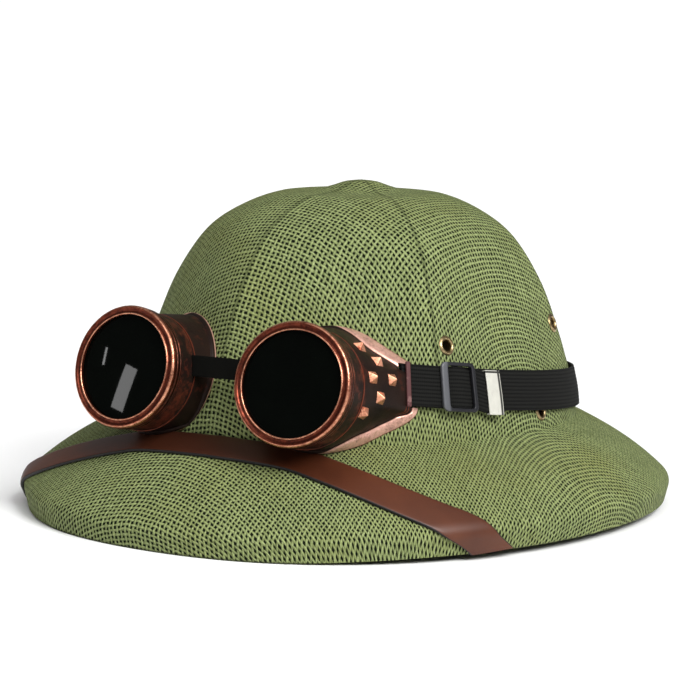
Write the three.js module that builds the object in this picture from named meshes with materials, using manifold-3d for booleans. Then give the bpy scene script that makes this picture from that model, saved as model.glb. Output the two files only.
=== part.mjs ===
// A woven straw sun helmet with a leather strap over its front brim and a pair of round goggles
// held on its crown by an elastic strap. Millimetres, +Z up. The front looks along -Y, the helmet
// rests on z = 0, and its wearer's left is +X. Angles called turn run round the crown in radians,
// from 0 at the front towards the wearer's left.
import * as THREE from 'three';
import { mergeVertices } from 'three/addons/utils/BufferGeometryUtils.js';
import Module from 'manifold-3d';

const wasm = await Module();
wasm.setup();
const degrees = THREE.MathUtils.degToRad;

// Shell: one moulded piece, crown and brim
const brimFrontLength = 169.7;
const brimBackLength = 169.7;
const brimHalfWidth = 141.6;
const crownFrontLength = 114.6;
const crownBackLength = 118.4;
const crownHalfWidth = 98.3;
const crownBaseHeight = 44.3;
const crownHeight = 103.6;
const bossRise = 6.2;
const crownSetback = 1.2;
const panelHollow = 8;
const hollowLean = 1.3;
const panelCount = 6;
const ridgeSharpness = 1.05;
const ovalSquareness = 2.15;
const brimSag = 0.26;
const hemHeight = 10.5;
const hemTuck = 2.6;
const hemRounding = 3.6;
const hemBendShare = 0.6;
const sideRise = 3.5;
const restingSweep = degrees(18);
const shellWall = 2.4;
const turnSteps = 54;
const bossRows = [0.05, 0.11];
const crownSteps = 9;
const brimSteps = 4;
const hemSteps = 4;

// Half section of the crown from its top to its base. out is a share of the base's half length,
// up a share of the crown's height and boss a share of the boss's rise.
const crownProfile = [
  { out: 0, up: 1, boss: 1 },
  { out: 0.07, up: 1, boss: 0.86 },
  { out: 0.13, up: 1, boss: 0.52 },
  { out: 0.19, up: 1, boss: 0.25 },
  { out: 0.27, up: 1, boss: 0.1 },
  { out: 0.36, up: 1, boss: 0 },
  { out: 0.52, up: 0.94, boss: 0 },
  { out: 0.68, up: 0.83, boss: 0 },
  { out: 0.82, up: 0.62, boss: 0 },
  { out: 0.91, up: 0.39, boss: 0 },
  { out: 0.945, up: 0.28, boss: 0 },
  { out: 0.985, up: 0.12, boss: 0 },
  { out: 1, up: 0, boss: 0 },
];

// Eyelets on each side. up is a share of the crown's height.
const eyeletPlaces = [
  { name: 'front', turn: degrees(63.5), up: 0.405 },
  { name: 'rear', turn: degrees(117), up: 0.43 },
  { name: 'low', turn: degrees(95.5), up: 0.078 },
];
const eyeletFlangeRadius = 4.6;
const eyeletFlangeThickness = 0.6;
const eyeletBoreRadius = 2.5;
const eyeletBarrelWall = 0.4;
const eyeletRollRadius = 3.9;
const eyeletSides = 10;
const eyeletSlack = 0.6;

// One clearance between touching pieces, and the turn of all the trim about the crown
const clearance = 0.3;
const trimTurn = degrees(4.8);

// Leather strap across the front brim. turn is a share of half its sweep, out a share of the
// brim's width, and hem a share of the way down the turned edge.
const leatherSweep = degrees(57.9);
const leatherWidth = 15.8;
const leatherThickness = 1.6;
const leatherStations = 24;
const leatherEndStations = 8;
const leatherEndShare = 0.08;
const leatherRoute = [
  { turn: 0, out: 0.155, hem: 0 },
  { turn: 0.21, out: 0.18, hem: 0 },
  { turn: 0.36, out: 0.235, hem: 0 },
  { turn: 0.49, out: 0.365, hem: 0 },
  { turn: 0.627, out: 0.555, hem: 0 },
  { turn: 0.758, out: 0.775, hem: 0 },
  { turn: 0.826, out: 0.895, hem: 0 },
  { turn: 0.888, out: 1, hem: 0 },
  { turn: 1, out: 1, hem: 1 },
];

// Goggles
const ringRadius = 27.7;
const ringDepth = 7;
const lensOpeningRadius = 23.5;
const lensThickness = 1.8;
const lensSetback = 2.1;
const lensSeatWidth = 1.4;
const lensCrown = 0.5;
const cupSpacing = 85.4;
const cupDepth = 36.4;
const cupHeight = 74.3;
const cupSplay = degrees(4.8);
const cupTip = degrees(13.7);
const neckRadius = 26.6;
const neckLength = 18;
const spigotWall = 2;
const cupWall = 2.2;
const flangeRadius = 28.3;
const flangeLift = 2.1;
const lugReach = 6.2;
const lugShoulder = degrees(56);
const lugSharpness = 16;
const lugTurn = degrees(9);
const noseFlare = 10;
const templeFlare = 35;
const borderHeight = 2.6;
const borderRise = 1;
const cupSides = 28;
const studSize = 6.3;
const studHeight = 2.8;
const studPitch = 15.6;
const studColumnPitch = 7;
const studColumnStart = 6.5;
const studTilt = 3;
const studMiddle = degrees(17);

// Bridge strap between the cups
const bridgeWidth = 9.3;
const bridgeThickness = 1.2;
const bridgeSetback = 16;
const bridgeAngle = degrees(11.5);

// Elastic strap, its doubled tail, the slider and the end clip
const elasticWidth = 18.6;
const elasticThickness = 1.3;
const elasticLift = 0.6;
const elasticBackHeight = 54.5;
const elasticRise = 19.3;
const elasticFall = 1.35;
const elasticInsert = 9;
const passageExtra = 0.5;
const lugBarThickness = 1.7;
const lugBarWidth = 2.6;
const lugBarSetback = 5;
const sliderStart = 9.8;
const sliderLength = 18.2;
const sliderWidth = 21.8;
const sliderSideBar = 3.3;
const sliderFarBar = 2;
const sliderEdgeBar = 1.2;
const sliderThickness = 1.9;
const sliderCentreBar = 3;
const clipStart = 35.2;
const clipLength = 9;
const clipThickness = 0.6;
const clipWidth = 19.8;
const tailDroop = 1.6;

// Shared geometry helpers

const smallTurn = 0.02;

const add = (point, direction, length) => point.clone().addScaledVector(direction, length);

function averageOf(points) {
  const sum = points.reduce((total, point) => total.add(point), new THREE.Vector3());
  return sum.divideScalar(points.length);
}

// A closed skin through rings of equal numbers of points, closed by a fan at both ends.
function loft(rings, firstPoint = averageOf(rings[0]), lastPoint = averageOf(rings.at(-1))) {
  const sides = rings[0].length;
  const points = [firstPoint, ...rings.flat(), lastPoint];
  const index = [];
  for (let side = 0; side < sides; side++) {
    const next = (side + 1) % sides;
    index.push(0, 1 + side, 1 + next);
    for (let ring = 0; ring + 1 < rings.length; ring++) {
      const low = 1 + ring * sides;
      const high = low + sides;
      index.push(low + side, high + side, high + next, low + side, high + next, low + next);
    }
    const last = 1 + (rings.length - 1) * sides;
    index.push(last + side, points.length - 1, last + next);
  }
  const geometry = new THREE.BufferGeometry().setFromPoints(points);
  geometry.setIndex(index);
  return facingOut(geometry);
}

// Turns every triangle round where the skin encloses a negative volume.
function facingOut(geometry) {
  const place = geometry.attributes.position;
  const index = Array.from(geometry.index.array);
  const corner = [0, 1, 2].map(() => new THREE.Vector3());
  let volume = 0;
  for (let at = 0; at < index.length; at += 3) {
    corner.forEach((point, offset) => point.fromBufferAttribute(place, index[at + offset]));
    volume += corner[0].dot(corner[1].cross(corner[2]));
  }
  if (volume < 0) {
    for (let at = 0; at < index.length; at += 3) {
      [index[at], index[at + 1]] = [index[at + 1], index[at]];
    }
  }
  geometry.setIndex(index);
  geometry.computeVertexNormals();
  return geometry;
}

function solidOf(geometry) {
  const plain = geometry.clone();
  plain.deleteAttribute('normal');
  plain.deleteAttribute('uv');
  const merged = mergeVertices(plain, 1e-4);
  return new wasm.Manifold(new wasm.Mesh({
    numProp: 3,
    vertProperties: Float32Array.from(merged.attributes.position.array),
    triVerts: Uint32Array.from(merged.index.array),
  }));
}

function geometryOf(solid) {
  const mesh = solid.getMesh();
  const geometry = new THREE.BufferGeometry();
  geometry.setAttribute('position', new THREE.BufferAttribute(mesh.vertProperties, 3));
  geometry.setIndex(new THREE.BufferAttribute(mesh.triVerts, 1));
  geometry.computeVertexNormals();
  return geometry;
}

// Moves a geometry made about +Y so that +Y points along an axis from an origin.
function aimed(geometry, origin, axis) {
  const turned = new THREE.Quaternion().setFromUnitVectors(new THREE.Vector3(0, 1, 0), axis);
  return geometry.applyQuaternion(turned).translate(origin.x, origin.y, origin.z);
}

// Shell surface. along runs from 0 at the crown's top to 1 at its base, 2 where the turned edge
// begins and 3 at the edge's foot.

function ovalDirection(turn) {
  const sine = Math.sin(turn);
  const cosine = Math.cos(turn);
  const sum = Math.abs(sine) ** ovalSquareness + Math.abs(cosine) ** ovalSquareness;
  const scale = sum ** (-1 / ovalSquareness);
  return { x: scale * sine, y: -scale * cosine };
}

const crownCurve = new THREE.CatmullRomCurve3(crownProfile.map((row) => (
  new THREE.Vector3(row.out, row.up, (row.boss * bossRise) / crownHeight)
)));

function crownOval(turn, share) {
  const direction = ovalDirection(turn);
  const length = direction.y < 0 ? crownFrontLength : crownBackLength;
  const y = share * length * direction.y - crownSetback;
  return new THREE.Vector3(share * crownHalfWidth * direction.x, y, 0);
}

function edgeHeight(turn) {
  return sideRise * THREE.MathUtils.smoothstep(Math.abs(Math.sin(turn)), Math.sin(restingSweep), 1);
}

function brimPoint(turn, share) {
  const direction = ovalDirection(turn);
  const length = direction.y < 0 ? brimFrontLength : brimBackLength;
  const edge = new THREE.Vector3(brimHalfWidth * direction.x, length * direction.y, 0);
  const point = crownOval(turn, 1).lerp(edge, share);
  const slope = (1 - brimSag) * share + brimSag * share ** 3;
  const drop = crownBaseHeight - hemHeight - edgeHeight(turn);
  point.z = crownBaseHeight - drop * slope;
  return point;
}

// The turned edge: a rounded corner, then a straight fall that tucks in a little.
function hemPoint(turn, share) {
  const corner = brimPoint(turn, 1);
  const width = corner.distanceTo(brimPoint(turn, 0));
  const start = brimPoint(turn, 1 - hemRounding / width);
  const inward = new THREE.Vector3(-corner.x, -corner.y, 0).normalize();
  const foot = add(corner, inward, hemTuck).setZ(edgeHeight(turn));
  const bend = corner.clone().lerp(foot, hemRounding / hemHeight);
  if (share > hemBendShare) {
    return bend.lerp(foot, (share - hemBendShare) / (1 - hemBendShare));
  }
  const curve = new THREE.QuadraticBezierCurve3(start, corner, bend);
  return curve.getPoint(share / hemBendShare);
}

function crownPoint(turn, along) {
  const row = crownCurve.getPointAt(along);
  const point = crownOval(turn, row.x);
  const bulge = Math.sin(Math.PI * THREE.MathUtils.clamp(row.y, 0, 1) ** hollowLean);
  const between = Math.abs(Math.sin((panelCount / 2) * turn)) ** ridgeSharpness;
  const shrink = 1 - (panelHollow / crownHalfWidth) * between * bulge;
  point.x *= shrink;
  point.y *= shrink;
  point.z = crownBaseHeight + crownHeight * (row.y + row.z);
  return point;
}

function shellPoint(turn, along) {
  if (along <= 1) {
    return crownPoint(turn, Math.max(along, 0));
  }
  if (along <= 2) {
    const width = brimPoint(turn, 1).distanceTo(brimPoint(turn, 0));
    return brimPoint(turn, (along - 1) * (1 - hemRounding / width));
  }
  return hemPoint(turn, Math.min(along, 3) - 2);
}

function shellNormal(turn, along) {
  const round = shellPoint(turn + smallTurn, along).sub(shellPoint(turn - smallTurn, along));
  const down = shellPoint(turn, along + smallTurn).sub(shellPoint(turn, along - smallTurn));
  return down.cross(round).normalize();
}

function crownAlong(up) {
  let low = 0.3;
  let high = 1;
  for (let pass = 0; pass < 40; pass++) {
    const middle = (low + high) / 2;
    if (crownCurve.getPointAt(middle).y > up) {
      low = middle;
    } else {
      high = middle;
    }
  }
  return low;
}

function shellRing(along, offset, flatFoot = false) {
  const ring = [];
  for (let step = 0; step < turnSteps; step++) {
    const turn = (step / turnSteps) * 2 * Math.PI;
    const point = add(shellPoint(turn, along), shellNormal(turn, along), offset);
    if (flatFoot) {
      point.z = shellPoint(turn, along).z;
    }
    ring.push(point);
  }
  return ring;
}

function shellRings(offset) {
  const rings = [];
  for (const along of bossRows) {
    rings.push(shellRing(along, offset));
  }
  for (let step = 1; step <= crownSteps; step++) {
    const along = THREE.MathUtils.lerp(bossRows.at(-1), 1, step / crownSteps);
    rings.push(shellRing(along, offset));
  }
  for (let step = 1; step <= brimSteps; step++) {
    rings.push(shellRing(1 + step / brimSteps, offset));
  }
  for (let step = 1; step <= hemSteps; step++) {
    rings.push(shellRing(2 + step / hemSteps, offset, step === hemSteps));
  }
  return rings;
}

const crownTop = new THREE.Vector3(0, -crownSetback, crownBaseHeight + crownHeight + bossRise);
const upward = new THREE.Vector3(0, 0, 1);

// The shell's outside with a skin of some thickness added, filled down to its foot.
function filledShell(skin) {
  return loft(shellRings(skin), add(crownTop, upward, skin));
}

function eyeletSpots() {
  return [1, -1].flatMap((side) => eyeletPlaces.map((place) => {
    const turn = side * place.turn;
    const along = crownAlong(place.up);
    return {
      name: `eyelet_${place.name}_${side > 0 ? 'left' : 'right'}`,
      origin: shellPoint(turn, along),
      axis: shellNormal(turn, along),
    };
  }));
}

function shellGeometry() {
  const rings = [...shellRings(0), ...shellRings(-shellWall).reverse()];
  let solid = solidOf(loft(rings, crownTop, add(crownTop, upward, -shellWall)));
  const holeRadius = eyeletBoreRadius + eyeletBarrelWall + clearance;
  for (const spot of eyeletSpots()) {
    const drill = new THREE.CylinderGeometry(holeRadius, holeRadius, 5 * shellWall, eyeletSides);
    solid = solid.subtract(solidOf(aimed(drill, spot.origin, spot.axis)));
  }
  return geometryOf(solid);
}

function eyeletGeometry() {
  const barrel = eyeletBoreRadius + eyeletBarrelWall;
  const top = clearance + eyeletFlangeThickness;
  const bottom = -shellWall - clearance - eyeletSlack;
  const foot = bottom - eyeletFlangeThickness;
  const middle = (barrel + eyeletFlangeRadius) / 2;
  const profile = [
    [eyeletBoreRadius, clearance],
    [middle, top],
    [eyeletFlangeRadius, clearance],
    [barrel, clearance],
    [barrel, bottom],
    [eyeletRollRadius, bottom],
    [barrel, foot],
    [eyeletBoreRadius, foot],
    [eyeletBoreRadius, clearance],
  ];
  return new THREE.LatheGeometry(profile.map(([r, y]) => new THREE.Vector2(r, y)), eyeletSides);
}

// Leather strap. It is laid out flat in distances: round the brim and down from the crown's base,
// over the brim and its turned edge.

const walkSteps = 48;

function brimWalk(turn) {
  const points = [];
  const lengths = [];
  for (let step = 0; step <= walkSteps; step++) {
    points.push(shellPoint(turn, 1 + (2 * step) / walkSteps));
    lengths.push(step ? lengths.at(-1) + points[step].distanceTo(points[step - 1]) : 0);
  }
  return { points, lengths };
}

function alongAt(lengths, distance) {
  let step = 1;
  while (step < walkSteps && lengths[step] < distance) {
    step++;
  }
  const span = lengths[step] - lengths[step - 1];
  const part = (distance - lengths[step - 1]) / span;
  return 1 + (2 * (step - 1 + part)) / walkSteps;
}

const leatherCurve = new THREE.CatmullRomCurve3(
  leatherRoute.map((row) => new THREE.Vector3(row.turn, row.out, row.hem)),
);

// A place on the strap's middle line, for a position from -1 at its right end to 1 at its left.
function leatherMiddle(position) {
  const row = leatherCurve.getPoint(Math.abs(position));
  const turn = trimTurn + Math.sign(position) * row.x * leatherSweep;
  const { lengths } = brimWalk(turn);
  const brimLength = lengths[walkSteps / 2];
  const hemLength = lengths[walkSteps] - brimLength;
  return { turn, down: row.y * brimLength + Math.max(row.z, 0) * hemLength };
}

function leatherEdge(offset) {
  const samples = 160;
  const places = [];
  for (let sample = -samples; sample <= samples; sample++) {
    const position = sample / samples;
    const reach = 1.25 / samples;
    const place = leatherMiddle(THREE.MathUtils.clamp(position, -1, 1));
    const before = leatherMiddle(Math.max(position - reach, -1));
    const after = leatherMiddle(Math.min(position + reach, 1));
    const { lengths } = brimWalk(place.turn);
    const along = alongAt(lengths, place.down);
    const ahead = shellPoint(place.turn + smallTurn, along);
    const behind = shellPoint(place.turn - smallTurn, along);
    const radius = ahead.distanceTo(behind) / (2 * smallTurn);
    const round = (after.turn - before.turn) * radius;
    const down = after.down - before.down;
    const length = Math.hypot(round, down);
    places.push({
      turn: place.turn - (offset * down) / length / radius,
      down: place.down + (offset * round) / length,
    });
  }
  return trimmedEdge(extendedEdge(places));
}

// Carries both ends of an edge straight on, so that they pass the foot of the turned edge.
function extendedEdge(places) {
  const reach = leatherWidth;
  const last = places.length - 1;
  const onward = (end, inner) => ({
    turn: end.turn + (end.turn - inner.turn) * reach,
    down: end.down + (end.down - inner.down) * reach,
  });
  const before = onward(places[0], places[1]);
  const after = onward(places[last], places[last - 1]);
  return [before, ...places, after];
}

function trimmedEdge(places) {
  const room = places.map((place) => brimWalk(place.turn).lengths[walkSteps] - place.down);
  const kept = [];
  places.forEach((place, at) => {
    if (at > 0 && room[at - 1] < 0 !== room[at] < 0) {
      const part = room[at - 1] / (room[at - 1] - room[at]);
      kept.push({
        turn: THREE.MathUtils.lerp(places[at - 1].turn, place.turn, part),
        down: THREE.MathUtils.lerp(places[at - 1].down, place.down, part),
      });
    }
    if (room[at] >= 0) {
      kept.push(place);
    }
  });
  return kept;
}

function placeAlong(places, share) {
  const lengths = [0];
  for (let at = 1; at < places.length; at++) {
    const round = (places[at].turn - places[at - 1].turn) * brimHalfWidth;
    lengths.push(lengths[at - 1] + Math.hypot(round, places[at].down - places[at - 1].down));
  }
  const wanted = share * lengths.at(-1);
  let at = 1;
  while (at < lengths.length - 1 && lengths[at] < wanted) {
    at++;
  }
  const part = (wanted - lengths[at - 1]) / (lengths[at] - lengths[at - 1]);
  return {
    turn: THREE.MathUtils.lerp(places[at - 1].turn, places[at].turn, part),
    down: THREE.MathUtils.lerp(places[at - 1].down, places[at].down, part),
  };
}

// Shares of the strap's length, closer together where its ends bend over the turned edge.
function leatherShares() {
  const shares = [];
  const march = (from, to, steps) => {
    for (let step = 0; step < steps; step++) {
      shares.push(THREE.MathUtils.lerp(from, to, step / steps));
    }
  };
  march(0, leatherEndShare, leatherEndStations);
  march(leatherEndShare, 1 - leatherEndShare, leatherStations);
  march(1 - leatherEndShare, 1, leatherEndStations);
  return [...shares, 1];
}

// The strap, or the same strap grown all round by a margin. Its underside follows the shell.
function leatherGeometry(margin = 0) {
  const inner = leatherEdge(-leatherWidth / 2 - margin);
  const outer = leatherEdge(leatherWidth / 2 + margin);
  const low = -leatherThickness;
  const high = clearance + leatherThickness + margin;
  const across = 3;
  const rings = [];
  for (const share of leatherShares()) {
    const from = placeAlong(inner, share);
    const to = placeAlong(outer, share);
    const under = [];
    const over = [];
    for (let step = 0; step <= across; step++) {
      const turn = THREE.MathUtils.lerp(from.turn, to.turn, step / across);
      const down = THREE.MathUtils.lerp(from.down, to.down, step / across);
      const along = alongAt(brimWalk(turn).lengths, down);
      const point = shellPoint(turn, along);
      const normal = shellNormal(turn, along);
      under.push(add(point, normal, low));
      over.push(add(point, normal, high));
    }
    rings.push([...under, ...over.reverse()]);
  }
  const skin = solidOf(filledShell(Math.max(clearance - margin, 0)));
  return geometryOf(solidOf(loft(rings)).subtract(skin));
}

// Elastic strap. It is stretched over the ridges, so it follows the crown's rounded oval without
// the hollows between them. travel is the distance round the crown from the left lug.

function crownWall(turn, height) {
  const along = crownAlong((height - crownBaseHeight) / crownHeight);
  return crownOval(turn, crownCurve.getPointAt(along).x).setZ(height);
}

function elasticHeight(turn) {
  const nearFront = (1 + Math.cos(turn - trimTurn)) / 2;
  return elasticBackHeight + elasticRise * nearFront ** elasticFall;
}

function elasticPoint(turn, across, lift) {
  const middle = elasticHeight(turn);
  const rise = crownWall(turn, middle + 1).distanceTo(crownWall(turn, middle));
  const height = middle + across / rise;
  const round = crownWall(turn + smallTurn, height).sub(crownWall(turn - smallTurn, height));
  const up = crownWall(turn, height + 1).sub(crownWall(turn, height - 1));
  return add(crownWall(turn, height), round.cross(up).normalize(), lift);
}

const clearanceSkin = filledShell(clearance);
const crownProbe = new THREE.Mesh(clearanceSkin, new THREE.MeshBasicMaterial());

// Where a straight line first meets the shell with its clearance.
function seatBelow(from, direction) {
  const ray = new THREE.Raycaster(from, direction);
  return ray.intersectObject(crownProbe)[0].point;
}

function cupFrame(side) {
  const turn = trimTurn + side * cupSplay;
  const level = Math.cos(cupTip);
  const forward = new THREE.Vector3(
    Math.sin(turn) * level,
    -Math.cos(turn) * level,
    Math.sin(cupTip),
  );
  const outward = new THREE.Vector3(Math.cos(turn), Math.sin(turn), 0).multiplyScalar(side);
  const up = forward.clone().cross(outward).multiplyScalar(side);
  const pairOut = new THREE.Vector3(Math.cos(trimTurn), Math.sin(trimTurn), 0);
  const pairForward = new THREE.Vector3(Math.sin(trimTurn), -Math.cos(trimTurn), 0);
  const away = forward.clone().negate();
  const centre = pairOut.multiplyScalar((side * cupSpacing) / 2);
  centre.addScaledVector(pairForward, crownFrontLength + cupDepth).setZ(cupHeight);
  for (let pass = 0; pass < 4; pass++) {
    const depth = centre.distanceTo(seatBelow(centre, away));
    centre.addScaledVector(pairForward, cupDepth - depth);
  }
  return { side, forward, outward, up, centre };
}

function cupPoint(frame, angle, radius, depth) {
  return add(frame.centre, frame.forward, -depth)
    .addScaledVector(frame.outward, radius * Math.cos(angle))
    .addScaledVector(frame.up, radius * Math.sin(angle));
}

// The flange's round edge, drawn out to a blunt strap lug with two straight shoulders.
function flangeEdge(angle) {
  const round = flangeRadius + flangeLift * Math.sin(angle);
  const towardLug = Math.cos(angle - lugTurn);
  if (towardLug < Math.cos(lugShoulder)) {
    return round;
  }
  const aside = Math.abs(Math.sin(angle - lugTurn));
  const lean = Math.cos(lugShoulder) * towardLug + Math.sin(lugShoulder) * aside;
  const shoulder = round / lean;
  const tip = (round + lugReach) / towardLug;
  return (shoulder ** -lugSharpness + tip ** -lugSharpness) ** (-1 / lugSharpness);
}

// Outside of the cup: a round neck that flares to a flange, widest at the strap lug.
function cupRadius(angle, depth) {
  const towardLug = Math.cos(angle - lugTurn);
  const flange = flangeEdge(angle);
  const flare = (noseFlare + templeFlare) / 2 + ((templeFlare - noseFlare) / 2) * towardLug;
  const share = THREE.MathUtils.clamp((depth - neckLength) / flare, 0, 1);
  return THREE.MathUtils.lerp(neckRadius, flange, share);
}

const cupBackDepth = neckLength + templeFlare + ringRadius;
const spigotRadius = lensOpeningRadius + lensSeatWidth;
const lensBack = lensSetback + lensThickness;

function cupSkin(frame, inset, depths, radiusAt) {
  return loft(depths.map((depth) => {
    const ring = [];
    for (let side = 0; side < cupSides; side++) {
      const angle = (side / cupSides) * 2 * Math.PI;
      ring.push(cupPoint(frame, angle, radiusAt(angle, depth) - inset, depth));
    }
    return ring;
  }));
}

function flareDepths() {
  const flares = [0, noseFlare / 2, noseFlare, (noseFlare + templeFlare) / 2, templeFlare];
  return [...flares.map((flare) => neckLength + flare), cupBackDepth];
}

function ribbonBox(range, across, lift, steps, turnAt) {
  const rings = [];
  for (let step = 0; step <= steps; step++) {
    const turn = turnAt(THREE.MathUtils.lerp(range[0], range[1], step / steps));
    const middle = (across[0] + across[1]) / 2;
    rings.push([
      elasticPoint(turn, across[0], lift[0]),
      elasticPoint(turn, middle, lift[0]),
      elasticPoint(turn, across[1], lift[0]),
      elasticPoint(turn, across[1], lift[1]),
      elasticPoint(turn, middle, lift[1]),
      elasticPoint(turn, across[0], lift[1]),
    ]);
  }
  return loft(rings);
}

// The turn of the crown at which a cup's lug ends.
function lugEndTurn(frame) {
  const reach = cupRadius(lugTurn, cupBackDepth);
  const end = seatBelow(cupPoint(frame, lugTurn, reach, 0), frame.forward.clone().negate());
  const length = end.y < -crownSetback ? crownFrontLength : crownBackLength;
  return Math.atan2(end.x / crownHalfWidth, -(end.y + crownSetback) / length);
}

const leftFrame = cupFrame(1);
const rightFrame = cupFrame(-1);
const leftLugTurn = lugEndTurn(leftFrame);
const rightLugTurn = lugEndTurn(rightFrame);

// Turns of the crown for distances round it from the left lug, towards the back.
function turnFromLug(travel) {
  const stride = degrees(0.5) * Math.sign(travel);
  let turn = leftLugTurn;
  let walked = 0;
  while (walked < Math.abs(travel)) {
    const here = elasticPoint(turn, 0, elasticLift);
    const step = here.distanceTo(elasticPoint(turn + stride, 0, elasticLift));
    const part = Math.min(1, (Math.abs(travel) - walked) / step);
    turn += stride * part;
    walked += step * part;
  }
  return turn;
}

const mainLift = [elasticLift, elasticLift + elasticThickness];
const tailLift = [mainLift[1] + clearance, mainLift[1] + clearance + elasticThickness];
const passageLift = tailLift[1] + passageExtra;
const halfElastic = elasticWidth / 2;

function lugBox(frame, lugEnd, from, to, halfWidth, lift) {
  const radius = elasticPoint(lugEnd, 0, elasticLift).setZ(0).length();
  const turnAt = (travel) => lugEnd + (frame.side * travel) / radius;
  return ribbonBox([from, to], [-halfWidth, halfWidth], lift, 4, turnAt);
}

function studGeometry(frame, column, row) {
  const depth = neckLength + studColumnStart + column * studColumnPitch + row * studTilt;
  const angle = studMiddle + (row * studPitch) / neckRadius;
  const at = (anAngle, aDepth) => cupPoint(frame, anAngle, cupRadius(anAngle, aDepth), aDepth);
  const round = at(angle + smallTurn, depth).sub(at(angle - smallTurn, depth));
  const back = at(angle, depth + 1).sub(at(angle, depth - 1)).normalize();
  const normal = round.clone().cross(back).multiplyScalar(-frame.side).normalize();
  if (normal.dot(frame.outward) < 0) {
    normal.negate();
  }
  const foot = at(angle, depth);
  const across = normal.clone().cross(back);
  const corner = (a, b, lift) => add(foot, across, (a * studSize) / 2)
    .addScaledVector(back, (b * studSize) / 2)
    .addScaledVector(normal, lift);
  const square = (lift) => [[-1, -1], [1, -1], [1, 1], [-1, 1]].map(([a, b]) => corner(a, b, lift));
  return loft([square(-cupWall / 2), square(0)], undefined, add(foot, normal, studHeight));
}

function cupGeometry(frame, lugEnd) {
  const seat = solidOf(clearanceSkin);
  const leatherRoom = solidOf(leatherGeometry(clearance));
  const front = lensBack + clearance;
  const step = ringDepth + clearance;
  const neckDepths = [step, neckLength, ...flareDepths().slice(1)];
  const outside = solidOf(cupSkin(frame, 0, neckDepths, cupRadius));
  const spigot = solidOf(cupSkin(frame, clearance, [front, neckLength], () => spigotRadius));
  const hollowDepths = [step + cupWall, ...flareDepths(), cupBackDepth + cupWall];
  const hollow = solidOf(cupSkin(frame, cupWall, hollowDepths, cupRadius));
  const borderDepths = [neckLength, ...flareDepths().slice(1)];
  const swollen = solidOf(cupSkin(frame, -borderRise, borderDepths, cupRadius));
  const border = swollen.intersect(solidOf(filledShell(clearance + borderHeight)));
  const bore = solidOf(cupSkin(
    frame,
    spigotWall + clearance,
    [front - ringDepth, neckLength],
    () => spigotRadius,
  ));
  const passage = solidOf(lugBox(
    frame,
    lugEnd,
    -elasticInsert - clearance,
    2 * elasticInsert,
    halfElastic + passageExtra,
    [-cupWall, passageLift],
  ));
  const barLift = [passageLift, passageLift + lugBarThickness];
  const bar = solidOf(lugBox(
    frame,
    lugEnd,
    -lugBarSetback - lugBarWidth,
    -lugBarSetback,
    halfElastic + passageExtra + cupWall / 2,
    barLift,
  ));
  let solid = outside.add(border).add(spigot);
  for (const { column, rows } of [
    { column: 0, rows: [-1, 0, 1] },
    { column: 1, rows: [-0.5, 0.5] },
    { column: 2, rows: [0] },
  ]) {
    for (const row of rows) {
      solid = solid.add(solidOf(studGeometry(frame, column, row)));
    }
  }
  solid = solid.subtract(hollow).subtract(bore).subtract(passage).add(bar);
  solid = solid.subtract(seat).subtract(leatherRoom);
  return geometryOf(solid);
}

// Pieces turned about the axis of a cup. Their profiles run in radius and depth behind the front.
function turnedGeometry(profile, sides) {
  const points = profile.map(([radius, depth]) => new THREE.Vector2(radius, -depth));
  return new THREE.LatheGeometry(points, sides);
}

function ringGeometry() {
  const lip = lensOpeningRadius;
  const seat = spigotRadius + clearance;
  const width = ringRadius - lip;
  return turnedGeometry([
    [lip, 0.2 * ringDepth],
    [lip + 0.15 * width, 0.04 * ringDepth],
    [lip + 0.45 * width, 0],
    [lip + 0.8 * width, 0.1 * ringDepth],
    [ringRadius, 0.34 * ringDepth],
    [ringRadius, ringDepth],
    [seat, ringDepth],
    [seat, lensSetback - clearance],
    [lip, lensSetback - clearance],
    [lip, 0.2 * ringDepth],
  ], cupSides);
}

function lensGeometry() {
  const radius = spigotRadius;
  return turnedGeometry([
    [0, lensSetback - lensCrown],
    [0.5 * lensOpeningRadius, lensSetback - 0.75 * lensCrown],
    [lensOpeningRadius - clearance, lensSetback],
    [radius, lensSetback],
    [radius, lensBack],
    [0, lensBack],
  ], cupSides);
}

// The bridge's ends are cut to the round of the cups' necks.
function bridgeGeometry() {
  const nose = (frame) => (
    cupPoint(frame, Math.PI - bridgeAngle, neckRadius - cupWall, bridgeSetback)
  );
  const from = nose(rightFrame);
  const to = nose(leftFrame);
  const along = to.clone().sub(from).normalize();
  const up = rightFrame.up.clone().add(leftFrame.up).normalize();
  const out = along.clone().cross(up).normalize();
  const section = (middle) => [[-1, -1], [1, -1], [1, 1], [-1, 1]].map(([across, depth]) => (
    add(middle, up, (across * bridgeWidth) / 2)
      .addScaledVector(out, (depth * bridgeThickness) / 2)
  ));
  const neckDepths = [ringDepth, ...flareDepths()];
  return geometryOf([leftFrame, rightFrame].reduce(
    (solid, frame) => solid.subtract(solidOf(cupSkin(frame, -clearance, neckDepths, cupRadius))),
    solidOf(loft([section(from), section(to)])),
  ));
}

function elasticGeometry() {
  const radius = elasticPoint(leftLugTurn, 0, elasticLift).setZ(0).length();
  const insert = elasticInsert / radius;
  const from = leftLugTurn - insert;
  const to = 2 * Math.PI + rightLugTurn + insert;
  const steps = Math.round((to - from) / degrees(6));
  return ribbonBox([from, to], [-halfElastic, halfElastic], mainLift, steps, (turn) => turn);
}

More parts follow.
